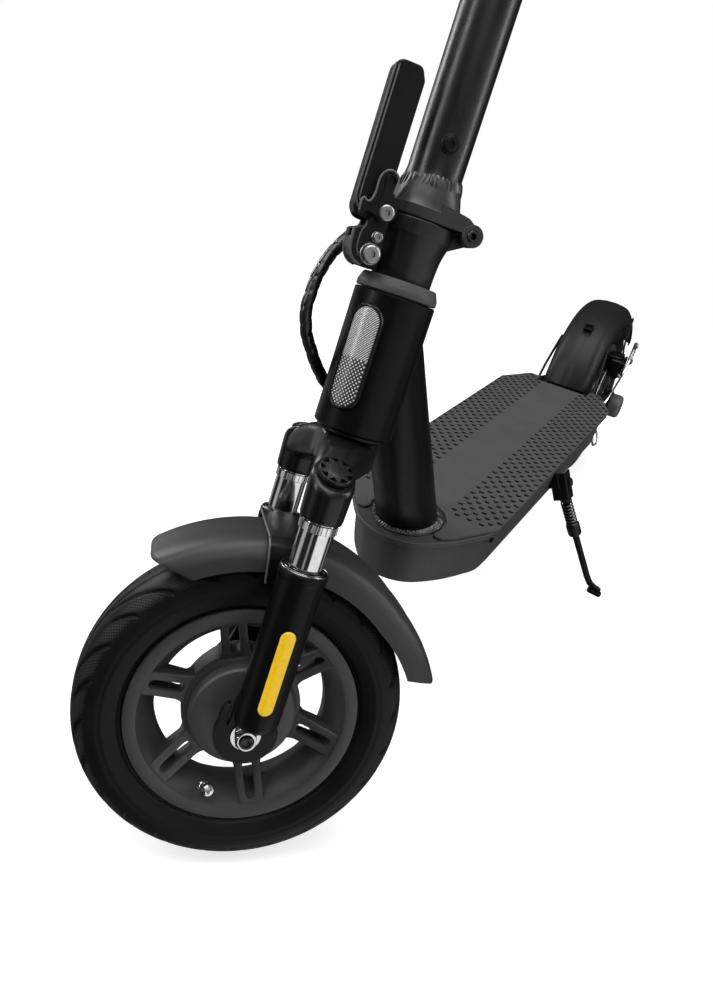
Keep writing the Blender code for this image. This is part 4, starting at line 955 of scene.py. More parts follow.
piece("kickstand_leg", [sweep(kq, kr, 28), toe], M["leg"], "kickstand", "kickstand_rod", angle=40)
piece("kickstand_pivot", [lathe([(3.0, -10.4), (3.0, 10.8)], o, kax, 28), lathe([(5.2, 10.9), (5.4, 11.2), (5.4, 12.8), (4.8, 13.4)], o, kax, 6), lathe([(5.2, -11.0), (5.4, -11.2), (5.4, -13.6), (4.6, -14.2)], o, kax, 32)],
      M["dark_steel"], "kickstand", angle=25)
piece("kickstand_sleeves", [lathe([(6.2, -5), (6.8, -4.4), (6.8, 25.4), (6.2, 26)], o, d1, 40),
                            lathe([(7.4, 62), (8.2, 62.6), (8.4, 64), (8.4, 75), (8.0, 77.2), (7.2, 78)], o, d1, 48),
                            plate(rounded(4.2, 2.2, 1.8), o + d1 * 70 + e1 * 7.4, d1, kax, e1, -1, 3.6, 0.5)], M["plate_black"], "kickstand", angle=30)
hs = []
for q in np.linspace(0, 7 * 2 * math.pi, 300):
    h = 27.6 + 33.4 * q / (14 * math.pi)
    hs.append(o + d1 * h + kax * 6.2 * math.cos(q) + e1 * 6.2 * math.sin(q))
piece("kickstand_coil", sweep(np.array(hs), 1.15, 12), M["spring"], "kickstand", "kickstand_spring", angle=60)

# ---------------------------------------------------------------- fork crown
def sleeve(s):
    c = S(LEG_U * s, -FORK_OFFSET, 0)
    n = 64
    t = np.arange(n) * 2 * math.pi / n
    loops = []
    for w, r, tilt in ((-55, 13.6, 0), (-54.4, 14.6, 0), (-52, 15.2, 0), (-36, 15.8, 0), (-27, 15.9, 0.9), (-24.5, 15.5, 1), (-22.8, 14.2, 1)):
        base = ring(c + W * w, U, V, r, n=n)
        if tilt:
            base = base - np.outer(np.cos(t) * r * s * math.tan(math.radians(30)) * tilt, W)
        loops.append(base)
    return loft(loops)


beam = []
ctl = np.array([(-66, -33, -6, -44, -25), (-56, -32.5, -5, -42, -21), (-48, -31, -3.5, -39, -14), (-39, -29, 2, -36.5, -8.5), (-30, -27, 8, -34, -5.5), (-14, -23, 19, -30, -3.2), (0, -22, 22, -29, -2.6),
                (14, -23, 19, -30, -3.2), (30, -27, 8, -34, -5.5), (39, -29, 2, -36.5, -8.5), (48, -31, -3.5, -39, -14), (56, -32.5, -5, -42, -21), (66, -33, -6, -44, -25)], float)
for u in np.linspace(-66, 66, 45):
    v0, v1, w0, w1 = (np.interp(u, ctl[:, 0], ctl[:, k]) for k in (1, 2, 3, 4))
    vc, hv, wc, hw = (v0 + v1) / 2, (v1 - v0) / 2, (w0 + w1) / 2, (w1 - w0) / 2
    beam.append(np.array([S(u, vc + a_, wc + b_) for a_, b_ in rounded(hv, hw, min(hv, hw) * 0.7, 5)]))
bore = [lathe([(12.9, -60), (12.9, -38)], S(LEG_U * s, -FORK_OFFSET, 0), W, 48, ab=(U, V)) for s in (1, -1)]
seat = []
for s in (1, -1):
    nn_ = unit(W + U * s * math.tan(math.radians(30)))
    seat.append(lathe([(12.6, -0.2), (12.6, 12)], S(LEG_U * s, -FORK_OFFSET, -22.5), nn_, 48))
piece("crown_casting", loft(beam), M["gloss"], "steer", "fork_crown", add=[sleeve(1), sleeve(-1), lathe([(22.5, -26), (22.5, -6), (20.5, -3), (20.5, -0.5)], H0, W, 64, ab=(U, V))],
      cut=bore + seat, remesh=0.85, relax=16)
piece("steerer_tube", [lathe([(20.5, -4), (20.5, 142)], H0, W, 64, ab=(U, V)), lathe([(25.5, -3.2), (26.5, -2.6), (26.5, -1.0), (25.5, -0.4)], H0, W, 72, ab=(U, V))], M["plate_black"], "steer", angle=30)


def knob(c, nrm, s):
    """Adjuster knob: smooth dish in the middle, a crown of pointed scallops round it."""
    nrm = unit(nrm)
    a_, b_ = perp(nrm)
    n = 216
    th_ = np.arange(n) * 2 * math.pi / n
    loops = []
    tri = np.abs(((th_ * 9 / math.pi) % 2) - 1)      # 9 pockets, narrow inside and wide outside
    for r, h, k in ((11.6, 0.3, -1), (12.0, 1.0, -1), (12.0, 3.5, -1), (11.8, 4.1, -1), (11.45, 4.35, -1), (11.3, 4.35, -1), (11.2, 4.35, 1.0), (10.7, 4.45, 0.9), (10.1, 4.5, 0.76), (9.5, 4.55, 0.6), (8.9, 4.6, 0.44),
                    (8.4, 4.7, 0.3), (7.9, 4.75, 0.14), (7.6, 4.75, -1), (6.2, 5.1, -1), (4, 5.35, -1), (2, 5.45, -1), (0.4, 5.5, -1)):
        cutd = np.where(tri > (1 - 0.80 * k), 2.7, 0.0) if k > 0 else np.zeros(n)
        loops.append(np.asarray(c) + np.outer(np.cos(th_) * r, a_) + np.outer(np.sin(th_) * r, b_) + np.outer(h - cutd, nrm))
    return loft(loops)


for s, n in ((1, "left"), (-1, "right")):
    nn_ = unit(W + U * s * math.tan(math.radians(30)))
    c = S(LEG_U * s, -FORK_OFFSET, -22.5)
    piece("fork_knob_" + n, knob(c, nn_, s), M["knob"], "steer", "adjuster_cap_" + n, angle=35)
    lc = S(LEG_U * s, -FORK_OFFSET, 0)
    piece("stanchion_tube_" + n, lathe([(12.2, -150), (12.4, -149.6), (12.4, -38.4)], lc, W, 96, ab=(U, V)), M["chrome"], "steer", "stanchion_" + n, angle=30)
    ringm = []
    for w, r in ((-61.7, 12.9), (-61.2, 13.6), (-55.7, 13.6), (-55.2, 12.9)):
        q = np.arange(208) * 2 * math.pi / 208
        rad = r - 0.5 * (np.arange(208) % 8 == 0)
        ringm.append(lc + W * w + np.outer(np.cos(q) * rad, U) + np.outer(np.sin(q) * rad, V))
    piece("stanchion_ring_" + n, loft(ringm), metal("fluted_ring_" + n, (0.82, 0.82, 0.83), 0.16), "steer", angle=8)

# ---------------------------------------------------------------- headset collar and folding base
piece("collar_ring", lathe([(28.4, HT_LEN + 0.5), (29.3, HT_LEN + 1.3), (29.3, 103.4), (28.9, 104.4), (26.9, 109.3), (26.2, 110), (20.9, 110), (20.9, HT_LEN + 0.5)], H0, W, 96, True, (U, V)), M["collar"], "steer", "headset_collar", angle=25)


def flange(hu, vf, vr, w, n=72, p=2.6, cv=0.0):
    out = []
    for k in range(n):
        t = 2 * math.pi * k / n
        cu, sv = math.cos(t), math.sin(t)
        r = (abs(cu) ** p + abs(sv) ** p) ** (-1 / p)
        out.append(S(hu * r * cu, cv + (vr if sv > 0 else vf) * r * sv, w))
    return np.array(out)


def flange_stack(rows):
    """rows: w, hu, vf, vr, p."""
    rows = np.array(rows, float)
    return loft([flange(*[float(q) for q in (r_[1], r_[2], r_[3], r_[0])], p=float(r_[4])) for r_ in rows])


fold_c = S(0, FOLD_V, FOLD_W)
base = flange_stack([(110.4, 21.3, 21.3, 21.3, 2), (111, 21.6, 21.6, 21.6, 2), (118, 21.6, 21.7, 21.7, 2), (124, 21.8, 22, 22, 2), (129, 22.3, 22.2, 22.3, 2.05), (133, 23.0, 22.6, 22.8, 2.15), (137, 23.9, 23.1, 23.6, 2.3),
                     (140.2, 24.6, 23.4, 24.1, 2.5), (141.0, 25.1, 23.7, 24.3, 2.7), (143.5, 25.3, 23.8, 24.4, 2.8), (150.4, 25.3, 23.8, 24.4, 2.8), (151.2, 24.7, 23.2, 23.8, 2.8)])
knuckle = lathe([(6.9, -13.6), (7.2, -13.2), (7.2, 13.2), (6.9, 13.6)], fold_c, U, 48, ab=(V, W))
web = plate([(-14, -16), (2, -6.5), (2, -1.1), (-14, -1.1)], fold_c, V, W, U, -13.3, 13.3)
piece("fold_foot", base, M["foot"], "steer", "fold_base", add=[knuckle, web],
      cut=[lathe([(8.6, 13.9), (8.6, 30)], fold_c, U * s, 48, ab=(V, W)) for s in (1, -1)] + [lathe([(4.2, -20), (4.2, 20)], fold_c, U, 32, ab=(V, W))], angle=30, bevel=0.45)
piece("fold_hinge_pin", lathe([(3.5, -26.5), (3.9, -26.1), (3.9, 26.1), (3.5, 26.5)], fold_c, U, 40, ab=(V, W)), M["dark_steel"], "steer", "hinge_pin",
      cut=[plate(hexagon(2.4), fold_c, V, W, U, 21, 28)], angle=30)
chk = round_poly([(-46.5, 133.5), (-45.6, 121), (-42.5, 114.5), (-36, 110.8), (-23.8, 110.8), (-23.8, 139), (-25.5, 153), (-31, 157), (-36.5, 152), (-39, 142), (-40.5, 135.8)], [1.5, 6, 5, 4, 0.6, 4, 3.5, 4, 3.5, 3, 1.5], 5)
for n, u0, u1 in (("left", 17.2, 20.6), ("right", -3.0, -0.2)):
    piece("latch_cheek_" + n, plate(chk, H0, V, W, U, u0, u1, 1.2), M["plate_black"], "steer", "latch_bracket" if n == "left" else (),
          cut=[lathe([(4.3, -30), (4.3, 30)], S(0, LATCH_V, LATCH_W), U, 32, ab=(V, W))], angle=30)
# the bracket's front face band between the cheeks: painted sheen
piece("latch_bridge", plate(round_poly([(-46.2, 127.4), (-45.6, 121), (-42.5, 114.5), (-36, 110.8), (-23.8, 110.8), (-23.8, 114.2), (-35.6, 114.2), (-40.2, 117.4), (-42.6, 122), (-43.2, 127.4)], [0.6, 6, 5, 4, 0.4, 0.4, 3, 3, 4, 0.6], 5), H0, V, W, U, -0.3, 17.3, 0.0),
      M["bridge"], "steer", angle=30)
# painted highlight: a light rounded strip along the cheek's front edge stands for the glint on its bevel
lip = even_path([S(19.6, -46.0, 133), S(19.5, -45.8, 127), S(19.5, -45.3, 121), S(19.5, -43.2, 115.9), S(19.5, -39.4, 112.5), S(19.6, -35, 111.2)], 50)[0]
lip2 = even_path([S(20.5, -39.4, 139.0), S(20.6, -39.2, 136), S(20.6, -40.9, 132.4), S(20.6, -41.2, 126), S(20.6, -40.6, 120.5), S(20.6, -38.2, 116.4)], 50)[0]
# painted highlights: light strips along the cheek's inner line and the bridge's front edge
piece("cheek_line_glint", sweep(lip2, 0.5, 10), M["edge_metal"], "steer", angle=60)
piece("bridge_edge", sweep(even_path([S(-2.6, -46.2, 133), S(-2.6, -46.0, 127), S(-2.6, -45.5, 121), S(-2.6, -43.4, 115.7), S(-2.6, -39.6, 112.2), S(-2.6, -35, 110.9)], 50)[0], 0.8, 10), M["edge_metal"], "steer", angle=60)
piece("cheek_lip_glint", sweep(lip, 1.1, 12), M["edge_metal"], "steer", angle=60)


def socket_screw(c, d, r, h, hex_r, washer=None):
    """Button-head socket screw, with an optional washer: solids to be shown together."""
    d = unit(d)
    out = []
    h0 = 0.0
    if washer:
        out.append(lathe([(washer - 0.3, 0), (washer, 0.3), (washer, 1.1), (washer - 0.3, 1.4)], c, d, 64))
        h0 = 1.4
    hx = max(hex_r, 0.5)
    n = 48
    a_, b_ = perp(d)
    t = np.arange(n) * 2 * math.pi / n
    hexr = hx * math.cos(math.pi / 6) / np.cos(((t + math.pi / 6) % (math.pi / 3)) - math.pi / 6)
    rows = [(r * 0.97, h0), (r, h0 + 0.3), (r, h0 + h * 0.55), (r * 0.93, h0 + h * 0.85), (r * 0.78, h0 + h)]
    loops = [ring(np.asarray(c) + d * hh, a_, b_, rr_, n=n) for rr_, hh in rows]
    for hh in (h0 + h, h0 + h * 0.35):
        loops.append(np.asarray(c) + d * hh + np.outer(np.cos(t) * hexr, a_) + np.outer(np.sin(t) * hexr, b_))
    out.append(loft(loops))
    return out


piece("latch_pivot_screw", [lathe([(3.6, -4.5), (4.0, -4.1), (4.0, 25.4)], S(0, LATCH_V, LATCH_W), U, 40, ab=(V, W))] + socket_screw(S(25.5, LATCH_V, LATCH_W), U, 5.4, 3.2, 2.3), M["zinc"], "steer", "latch_pivot_bolt", angle=30)
piece("latch_base_screw", socket_screw(S(20.8, -31, 119.5), U, 6.2, 4.2, 2.8, washer=7.2), M["zinc"], "steer", "latch_base_bolt", angle=30)
piece("latch_small_screw", socket_screw(S(20.6, -29.8, 131.2), U, 3.4, 2.8, 1.3, washer=3.9), M["zinc"], "steer", angle=30)

# ---------------------------------------------------------------- latch lever and safety catch
side = round_poly([(-51, 146), (-47, 140), (-36, 139), (-26.5, 143), (-26.5, 152), (-29, 160), (-29, 232), (-33, 240), (-51, 240)], [9, 7, 8, 6, 8, 8, 5, 5, 7], 6)
piece("latch_lever_channel", plate(side, H0, V, W, U, 0.7, 16.4, 1.0), M["plate_black"], "latch", "latch_lever",
      cut=[plate(round_poly([(-48.2, 136), (-20, 136), (-20, 237), (-48.2, 237)], [3, 0, 0, 4], 4), H0, V, W, U, 3.5, 13.8),
           lathe([(4.3, -30), (4.3, 30)], S(0, LATCH_V, LATCH_W), U, 32, ab=(V, W))], angle=30)
# painted highlights: two light strips along the lever's front edges
for k, v_ in enumerate((-50.8, -48.4)):
    q = even_path([S(16.4, v_ + 3.4, 145.6 + k), S(16.6, v_ + 1.0, 150.5), S(16.6, v_, 157), S(16.6, v_, 200), S(16.6, v_, 236)], 60)[0]
    piece("lever_edge_%d" % k, sweep(q, 0.55, 10), M["edge_metal"], "latch", angle=60)
cat = round_poly([(-47.4, 152.8), (-44.6, 150.9), (-41.6, 152.2), (-40.1, 157), (-40.2, 166.0), (-38.4, 171.2), (-35.2, 173.4), (-31.1, 172.9), (-27.8, 169.9), (-27.7, 165.1), (-28.1, 159.7), (-26.0, 157.0),
                  (-24.6, 153.9), (-22.8, 150.5), (-23.4, 144.7), (-27.0, 140.4), (-33.0, 140.2), (-36.6, 143.4), (-43.0, 144.6), (-45.0, 140.7), (-47.0, 141.1), (-48.6, 147.4)], 1.8, 4)
piece("catch_hook", plate(cat, H0, V, W, U, 20.9, 25.3, 0.7), M["plate_black"], "catch", "safety_catch",
      cut=[lathe([(4.25, 15), (4.25, 30)], S(0, LATCH_V, LATCH_W), U, 32, ab=(V, W)), plate(round_poly([(-35.0, 166.3), (-33.4, 170.8), (-29.8, 168.6), (-29.4, 164.9)], 0.8, 3), H0, V, W, U, 23.2, 27), plate(round_poly([(-44.0, 147.8), (-39.4, 152.2), (-37.6, 159), (-38.0, 166), (-36.6, 169), (-35.8, 165), (-35.2, 158), (-36.6, 150.5), (-42.6, 146.6)], 1.0, 3), H0, V, W, U, 24.3, 27)], angle=30)
# painted highlight: a light strip along the catch's outline
q = even_path([S(25.2, -47.6, 143.5), S(25.2, -47.9, 149), S(25.3, -46.6, 151.9), S(25.3, -44.4, 150.4), S(25.3, -42, 151.6), S(25.3, -40.6, 157), S(25.3, -40.6, 166), S(25.3, -38.4, 171), S(25.3, -35.0, 173.0),
               S(25.3, -31.4, 172.4), S(25.3, -28.4, 169.6), S(25.3, -28.2, 165), S(25.3, -28.6, 160)], 120)[0]
piece("catch_rim_glint", sweep(q, 0.75, 10), M["edge_metal"], "catch", angle=60)

# ---------------------------------------------------------------- stem
foot_rows = [(152.0, 24.7, 23.2, 23.8, 2.8), (152.7, 25.3, 23.8, 24.4, 2.8), (159.3, 25.3, 23.8, 24.4, 2.8), (160.2, 24.7, 23.3, 24.1, 2.7), (165, 24, 22.6, 24, 2.5), (170, 22.7, 21.6, 23, 2.3), (176, 21.2, 20.4, 21.6, 2.1), (180, 20.4, 20.2, 20.6, 2),
             (184, 19.5, 19.5, 19.5, 2), (200, 19.5, 19.5, 19.5, 2), (STEM_TOP_W - 10, 19.5, 19.5, 19.5, 2), (STEM_TOP_W - 2, 17, 17, 17, 2)]
ears = []
for s in (1, -1):
    a_, b_ = (13.9, 25.3) if s > 0 else (-25.3, -13.9)
    ears.append(lathe([(7.1, a_), (7.6, a_ + 0.5), (7.6, b_ - 0.5), (7.1, b_)], fold_c, U, 48, ab=(V, W)))
    ears.append(plate([(-26, 0.2), (-5, 0.2), (5, -3), (7, 2.6), (-6, 10), (-26, 13)], fold_c, V, W, U, a_ + 0.2, b_ - 0.2))
piece("stem_casting", flange_stack(foot_rows), M["stem"], "stem", "stem_tube", add=ears,
      cut=[lathe([(8.2, -13.8), (8.2, 13.8)], fold_c, U, 48, ab=(V, W)), lathe([(4.2, -30), (4.2, 30)], fold_c, U, 32, ab=(V, W))], angle=30, bevel=0.4)
stem_ob = PIECES["stem_casting"]
stem_ob.data.materials.append(M["cast"])
# below the weld the foot takes the lighter cast material: partly its own cast finish, partly painted sheen
foot_c, foot_n = row(S(0, 0, 181)), rdir(W)
for pl in stem_ob.data.polygons:
    pl.material_index = 1 if (np.array(pl.center) - foot_c) @ foot_n < 0 else 0
th = np.arange(520) * 2 * math.pi / 520
p = np.array([S(20.1 * math.cos(q), 20.1 * math.sin(q), 177.0 + 1.6 * math.sin(q)) for q in th])
nn = np.array([unit(U * math.cos(q) + V * math.sin(q) + W * 0.22) for q in th])
piece("stem_weld", weld_ring(p, nn, 5.2, 0.9, 38, 0.8, seed=2.0), M["weld2"], "stem", angle=42)
piece("stem_side_screw", socket_screw(S(19.2, -1.4, 201.9), U, 5.2, 1.8, 2.4, washer=6.3), M["plate_black"], "stem", angle=30)

bar_c = S(0, 0, STEM_TOP_W)
bp = smooth_path([S(u, v, STEM_TOP_W) for u, v in ((-252, 22), (-90, 6), (-76, 4.8), (-60, 4.0), (-44, 3.6), (0, 3.6), (44, 3.6), (60, 4.0), (76, 4.8), (90, 6), (252, 22))], 90)
piece("bar_tube", sweep(bp, 11.1, 40), M["stem"], "stem", "handlebar", add=[lathe([(16.0, -19), (16.6, -18.4), (16.6, 18.4), (16.0, 19)], bar_c, U, 64, ab=(V, W))], angle=30)
for s, n in ((1, "left"), (-1, "right")):
    a_, b_ = S(132 * s, 10.148, STEM_TOP_W), S(256 * s, 22.395, STEM_TOP_W)
    d = unit(b_ - a_)
    L = np.linalg.norm(b_ - a_)
    ga, gb = perp(d)
    prof = []
    hh = 0.0
    rows = [(14.0, 0), (15.8, 0.8), (16.1, 2.0), (16.0, 4.2), (15.1, 5.4)]
    for k in range(34):
        h = 7.0 + k * (L - 17) / 34
        st = (L - 17) / 34
        bulge = 0.35 * math.sin(math.pi * (k + 0.5) / 34)
        rows += [(14.5 + bulge, h), (15.45 + bulge, h + st * 0.18), (15.6 + bulge, h + st * 0.45), (15.45 + bulge, h + st * 0.72), (14.5 + bulge, h + st * 0.9)]
    rows += [(15.2, L - 8.5), (15.9, L - 7), (16.0, L - 3.4), (15.5, L - 1.6), (13.6, L - 0.8), (0.5, L - 0.6)]
    piece("grip_rubber_" + n, lathe(rows, a_, d, 56), M["rubber"], "stem", "grip_" + n, angle=30)
dash = [np.array([S(a_, b_, STEM_TOP_W + h) for a_, b_ in rounded(hu, hv, 10, 8)]) for h, hu, hv in ((12.2, 26, 24), (13.5, 27.6, 27), (17, 30, 34), (25, 30, 38), (27.4, 29.3, 37.2), (28.7, 27.6, 35.6), (29, 26, 34))]
piece("display_case", loft(dash), M["plastic"], "stem", "display", cut=[lathe([(17.2, -40), (17.2, 40)], bar_c, U, 64, ab=(V, W)), sweep(bp, 12.0, 32)], angle=30)
piece("display_glass", plate(rounded(23.5, 27, 6, 8), S(0, 0, STEM_TOP_W + 28.6), U, V, W, 0.0, 1.0, 0.4), M["gloss"], "stem", angle=30)
piece("display_button", lathe([(6.4, 0), (6.4, 1.2), (5.6, 1.9), (0.4, 2.1)], S(0, 18, STEM_TOP_W + 29.4), W, 48), M["knob"], "stem", angle=30)
hl = [np.array([S(a_, v, STEM_TOP_W - 2 + b_) for a_, b_ in rounded(hu, hw, 9, 8)]) for v, hu, hw in ((-20.4, 20, 13), (-22, 20.8, 13.8), (-30, 22, 15), (-38, 21.4, 14.6), (-43, 19.6, 13.4), (-44, 18.6, 12.4))]
piece("headlight_case", loft(hl), M["plastic"], "stem", "headlight", angle=30)
piece("headlight_glass", loft([np.array([S(a_, v, STEM_TOP_W - 2 + b_) for a_, b_ in rounded(hu, hw, 7, 8)]) for v, hu, hw in ((-44.2, 17, 11), (-46.4, 16.2, 10.2), (-47.3, 14.6, 8.8), (-47.5, 12, 7.2))]), M["clear"], "stem", "headlight_lens", angle=40)
pc_ = S(104, 7.383, STEM_TOP_W)
bd = unit(S(252, 22, STEM_TOP_W) - S(90, 6, STEM_TOP_W))
piece("brake_clamp", lathe([(15.0, -11), (15.5, -10.5), (15.5, 10.5), (15.0, 11)], pc_, bd, 56), M["plate_black"], "stem", "brake_perch",
      add=[box(S(104, -15, STEM_TOP_W), U, V, W, 9, 14, 6, 0.8)], cut=[lathe([(11.5, -30), (11.5, 30)], pc_, bd, 48), box(S(104, -26, STEM_TOP_W), U, V, W, 13, 9, 3.0)], angle=30, bevel=0.4)
piece("brake_clamp_screws", socket_screw(S(104, -26, STEM_TOP_W + 6.0), W, 3.6, 2.2, 1.5) + socket_screw(S(104, -14, STEM_TOP_W + 6.0), W, 3.2, 2.0, 1.4), M["zinc"], "stem", angle=30)
lv = [S(u, v, STEM_TOP_W) for u, v in ((100, -26), (112, -27), (126, -34), (150, -40), (180, -40), (208, -37), (214, -37))]
lvp = smooth_path(lv, 60)
t = np.gradient(lvp, axis=0)
loops = []
aa = unit(np.cross(t[0], perp(unit(t[0]))[0]))
for i in range(60):
    tt = unit(t[i])
    n1 = unit(np.cross(W, tt))
    f = i / 59
    hw = 2.6 if f < 0.15 else (4.4 if f < 0.9 else 5.2 * math.sqrt(max(0.12, 1 - ((f - 0.94) / 0.075) ** 2)))
    hw = float(np.interp(f, [0, 0.14, 0.28, 0.86, 0.94, 1.0], [2.6, 2.6, 4.6, 4.6, 5.6, 3.4]))
    loops.append(lvp[i] + np.array([n1 * a_ + W * b_ for a_, b_ in rounded(2.7, hw, min(2.5, hw * 0.8), 4)]))
piece("brake_lever_blade", loft(loops), M["edge_metal"], "brake_lever", "brake_lever", angle=40)
tp = unit(S(-252, 22, STEM_TOP_W) - S(-90, 6, STEM_TOP_W))
tc = S(-112, 8.173, STEM_TOP_W)
piece("throttle_case", lathe([(16.5, -10), (17.5, -8), (17.5, 8), (16.5, 10)], tc, tp, 56), M["plastic"], "stem", "throttle_body",
      add=[box(S(-112, 10, STEM_TOP_W - 17), U, V, W, 9, 7, 7, 1.0)], cut=[lathe([(11.6, -30), (11.6, 30)], tc, tp, 48), box(S(-112, 17.5, STEM_TOP_W - 19), U, V, W, 3.6, 8, 7.5)], angle=30, bevel=0.4)
tl = round_poly([(-3, -3), (3, -3.5), (16, -13), (25, -17), (25, -12.5), (15, -7), (5, 4), (-3, 3)], [2, 3, 6, 1.5, 2, 8, 4, 2], 5)
piece("throttle_paddle", plate(tl, S(-112, 17, STEM_TOP_W - 16), V, W, U, -3.0, 3.0, 0.6), M["knob"], "throttle", "throttle_lever", angle=30)

# ---------------------------------------------------------------- cable loom with its spiral wrap
cp, L_LOOM = even_path([S(-24.8, -7, 126), S(-31, -11, 128), S(-36.5, -23, 131.5), F(-50.9, 6.2, 130.6), F(-54.4, -13.7, 105.6), F(-52.7, -23.4, 77.2), F(-49.2, -20.1, 57.3),
                        F(-42.9, -5.6, 37.6), F(-37.9, 10.5, 24.3), F(-34, 34, 17), F(-27, 54, 13)], 460)
tg = np.gradient(cp, axis=0)
tg /= np.linalg.norm(tg, axis=1)[:, None]
a_ = perp(tg[0])[0]
n = 32
q = np.arange(n) * 2 * math.pi / n
loops = []
for i in range(len(cp)):
    a_ = unit(a_ - tg[i] * (a_ @ tg[i]))
    b_ = np.cross(tg[i], a_)
    s = i / (len(cp) - 1) * L_LOOM
    k = (s / 10.5 - q / (2 * math.pi)) % 1.0
    k2 = (s / 21.0 - q / (2 * math.pi) + 0.3) % 1.0
    rad = 4.15 + 0.42 * np.clip(np.minimum(k, 1 - k) * 4, 0, 1) ** 0.8 + 0.16 * np.sin(k2 * 2 * math.pi)
    loops.append(cp[i] + np.outer(np.cos(q) * rad, a_) + np.outer(np.sin(q) * rad, b_))
loom = piece("cable_wrap", loft(loops), M["cable"], "frame", "cable_loom", angle=70)

# ---------------------------------------------------------------- lower fork
for s, n in ((1, "left"), (-1, "right")):
    c = S(LEG_U * s, -FORK_OFFSET, 0)
    prof = [(6, -213.0), (10.5, -212.7), (13.4, -211.8), (15.2, -210), (16.2, -207), (16.6, -203), (16.6, -97.6), (16.9, -97.1), (17.3, -96.4), (17.4, -95.4), (17.4, -92.2), (17.1, -91.2), (16.2, -90.4), (15.4, -90.2), (14.0, -90.4), (13.2, -91.6), (13.0, -93)]
    f = [(-22.1, 8.0), (-22.6, 13), (-21.6, 18.5), (-19.2, 22.6), (-16.9, 22.8), (-15.9, 20.4), (-16.6, 15), (-16.4, 9.5), (-15.2, 6.2)]
    tab = [(23.5 * math.cos(q_), 23.5 * math.sin(q_)) for q_ in np.linspace(math.radians(20), math.radians(-200), 64)]
    tab = [(14, 26)] + tab + f[1:] + [(-14, 12), (-14, 26), (-10, 44), (10, 44)]
    piece("fork_leg_" + n, lathe(prof, c, W, 96, ab=(U, V)), M["leg"], "fork_lower", "lower_leg_" + n, angle=28)
    piece("dropout_" + n, plate(tab, FRONT_C, V, W, U * s, 44.6, 51.0, 0.7), M["plate_black"], "fork_lower", cut=[lathe([(6.3, 40), (6.3, 90)], FRONT_C, U * s, 40, ab=(V, W))], angle=28)
    # painted highlight: two thin bright steel rings on the leg's top edge stand for the glint on that gloss edge
    piece("leg_edge_glint_ring_" + n, [lathe([(16.4, -90.5), (16.7, -90.1), (16.4, -89.7), (16.1, -90.1)], c, W, 96, True, (U, V)),
                            lathe([(13.9, -90.3), (14.1, -90.0), (13.9, -89.7), (13.7, -90.0)], c, W, 96, True, (U, V))], M["ring"], "fork_lower", angle=60)
    piece("leg_wiper_" + n, lathe([(13.6, -93), (15.2, -92.2), (14.9, -91.2), (13.5, -90.5), (12.6, -90.3), (12.6, -93)], c, W, 72, True, (U, V)), M["rubber"], "fork_lower", angle=40)
    # axle nut: washer, hexagon with a turned crown, dished screw end
    aU, bU = V, W
    nseg = 72
    tt = np.arange(nseg) * 2 * math.pi / nseg + 0.2
    hexr = math.cos(math.pi / 6) / np.cos(((tt - 0.2 + math.pi / 6) % (math.pi / 3)) - math.pi / 6)
    loops = []
    for h, r, k in ((52.4, 8.3, 1), (52.8, 8.6, 1), (57.6, 8.6, 1), (58.6, 8.1, 0.5), (59.3, 7.4, 0.0), (59.5, 6.7, 0), (59.4, 5.6, 0), (58.2, 5.2, 0), (58.0, 4.9, 0)):
        rad = r * (k * hexr + (1 - k)) if k else np.full(nseg, r)
        if k == 1:
            rad = r * hexr
        loops.append(FRONT_C + U * s * h + np.outer(np.cos(tt) * rad, aU) + np.outer(np.sin(tt) * rad, bU))
    piece("axle_nut_chrome_" + n, [loft(loops), lathe([(10.9, 51.2), (11.2, 51.4), (11.2, 52.2), (10.9, 52.4)], FRONT_C, U * s, 72, ab=(V, W))], M["chrome"], "fork_lower", "axle_nut_" + n, angle=25)
    piece("axle_end_" + n, lathe([(5.0, 57.0), (5.0, 61.2), (4.4, 61.8), (3.0, 61.8), (2.6, 60.6), (0.3, 60.2)], FRONT_C, U * s, 48, ab=(V, W)), M["dark_steel"], "fork_lower", angle=30)

    def on_leg(q_, w, out, s=s):
        t = q_ / 16.6
        rad = 16.65 + out
        return S(LEG_U * s, -FORK_OFFSET, w) + U * s * rad * math.cos(t) + V * rad * math.sin(t)

    piece("side_reflector_edge_" + n, pill_patch(on_leg, 5.3, -194.6, -130.4, 0.5, 0.75, 12, 40), M["amber_edge"], "fork_lower", "leg_reflector_" + n, angle=50)
    piece("side_reflector_" + n, pill_patch(on_leg, 4.7, -194.0, -131.0, 0.8, 1.25, 12, 40), M["amber"], "fork_lower", angle=50)

piece("front_axle_rod", lathe([(6.0, -56), (6.0, 56)], FRONT_C, U, 40, ab=(V, W)), M["dark_steel"], "fork_lower", "front_axle", angle=30)
stator = []
for k in range(27):
    t = 2 * math.pi * k / 27
    stator.append(box(FRONT_C + (V * math.cos(t) + W * math.sin(t)) * 26, V * math.cos(t) + W * math.sin(t), -V * math.sin(t) + W * math.cos(t), U, 5.0, 2.1, 12.0, 0.6))
piece("stator_coils", [lathe([(20, -13), (20, 13), (6.2, 13), (6.2, -13)], FRONT_C, U, 48, True, (V, W))] + stator, M["copper"], "fork_lower", "motor_stator", angle=30)

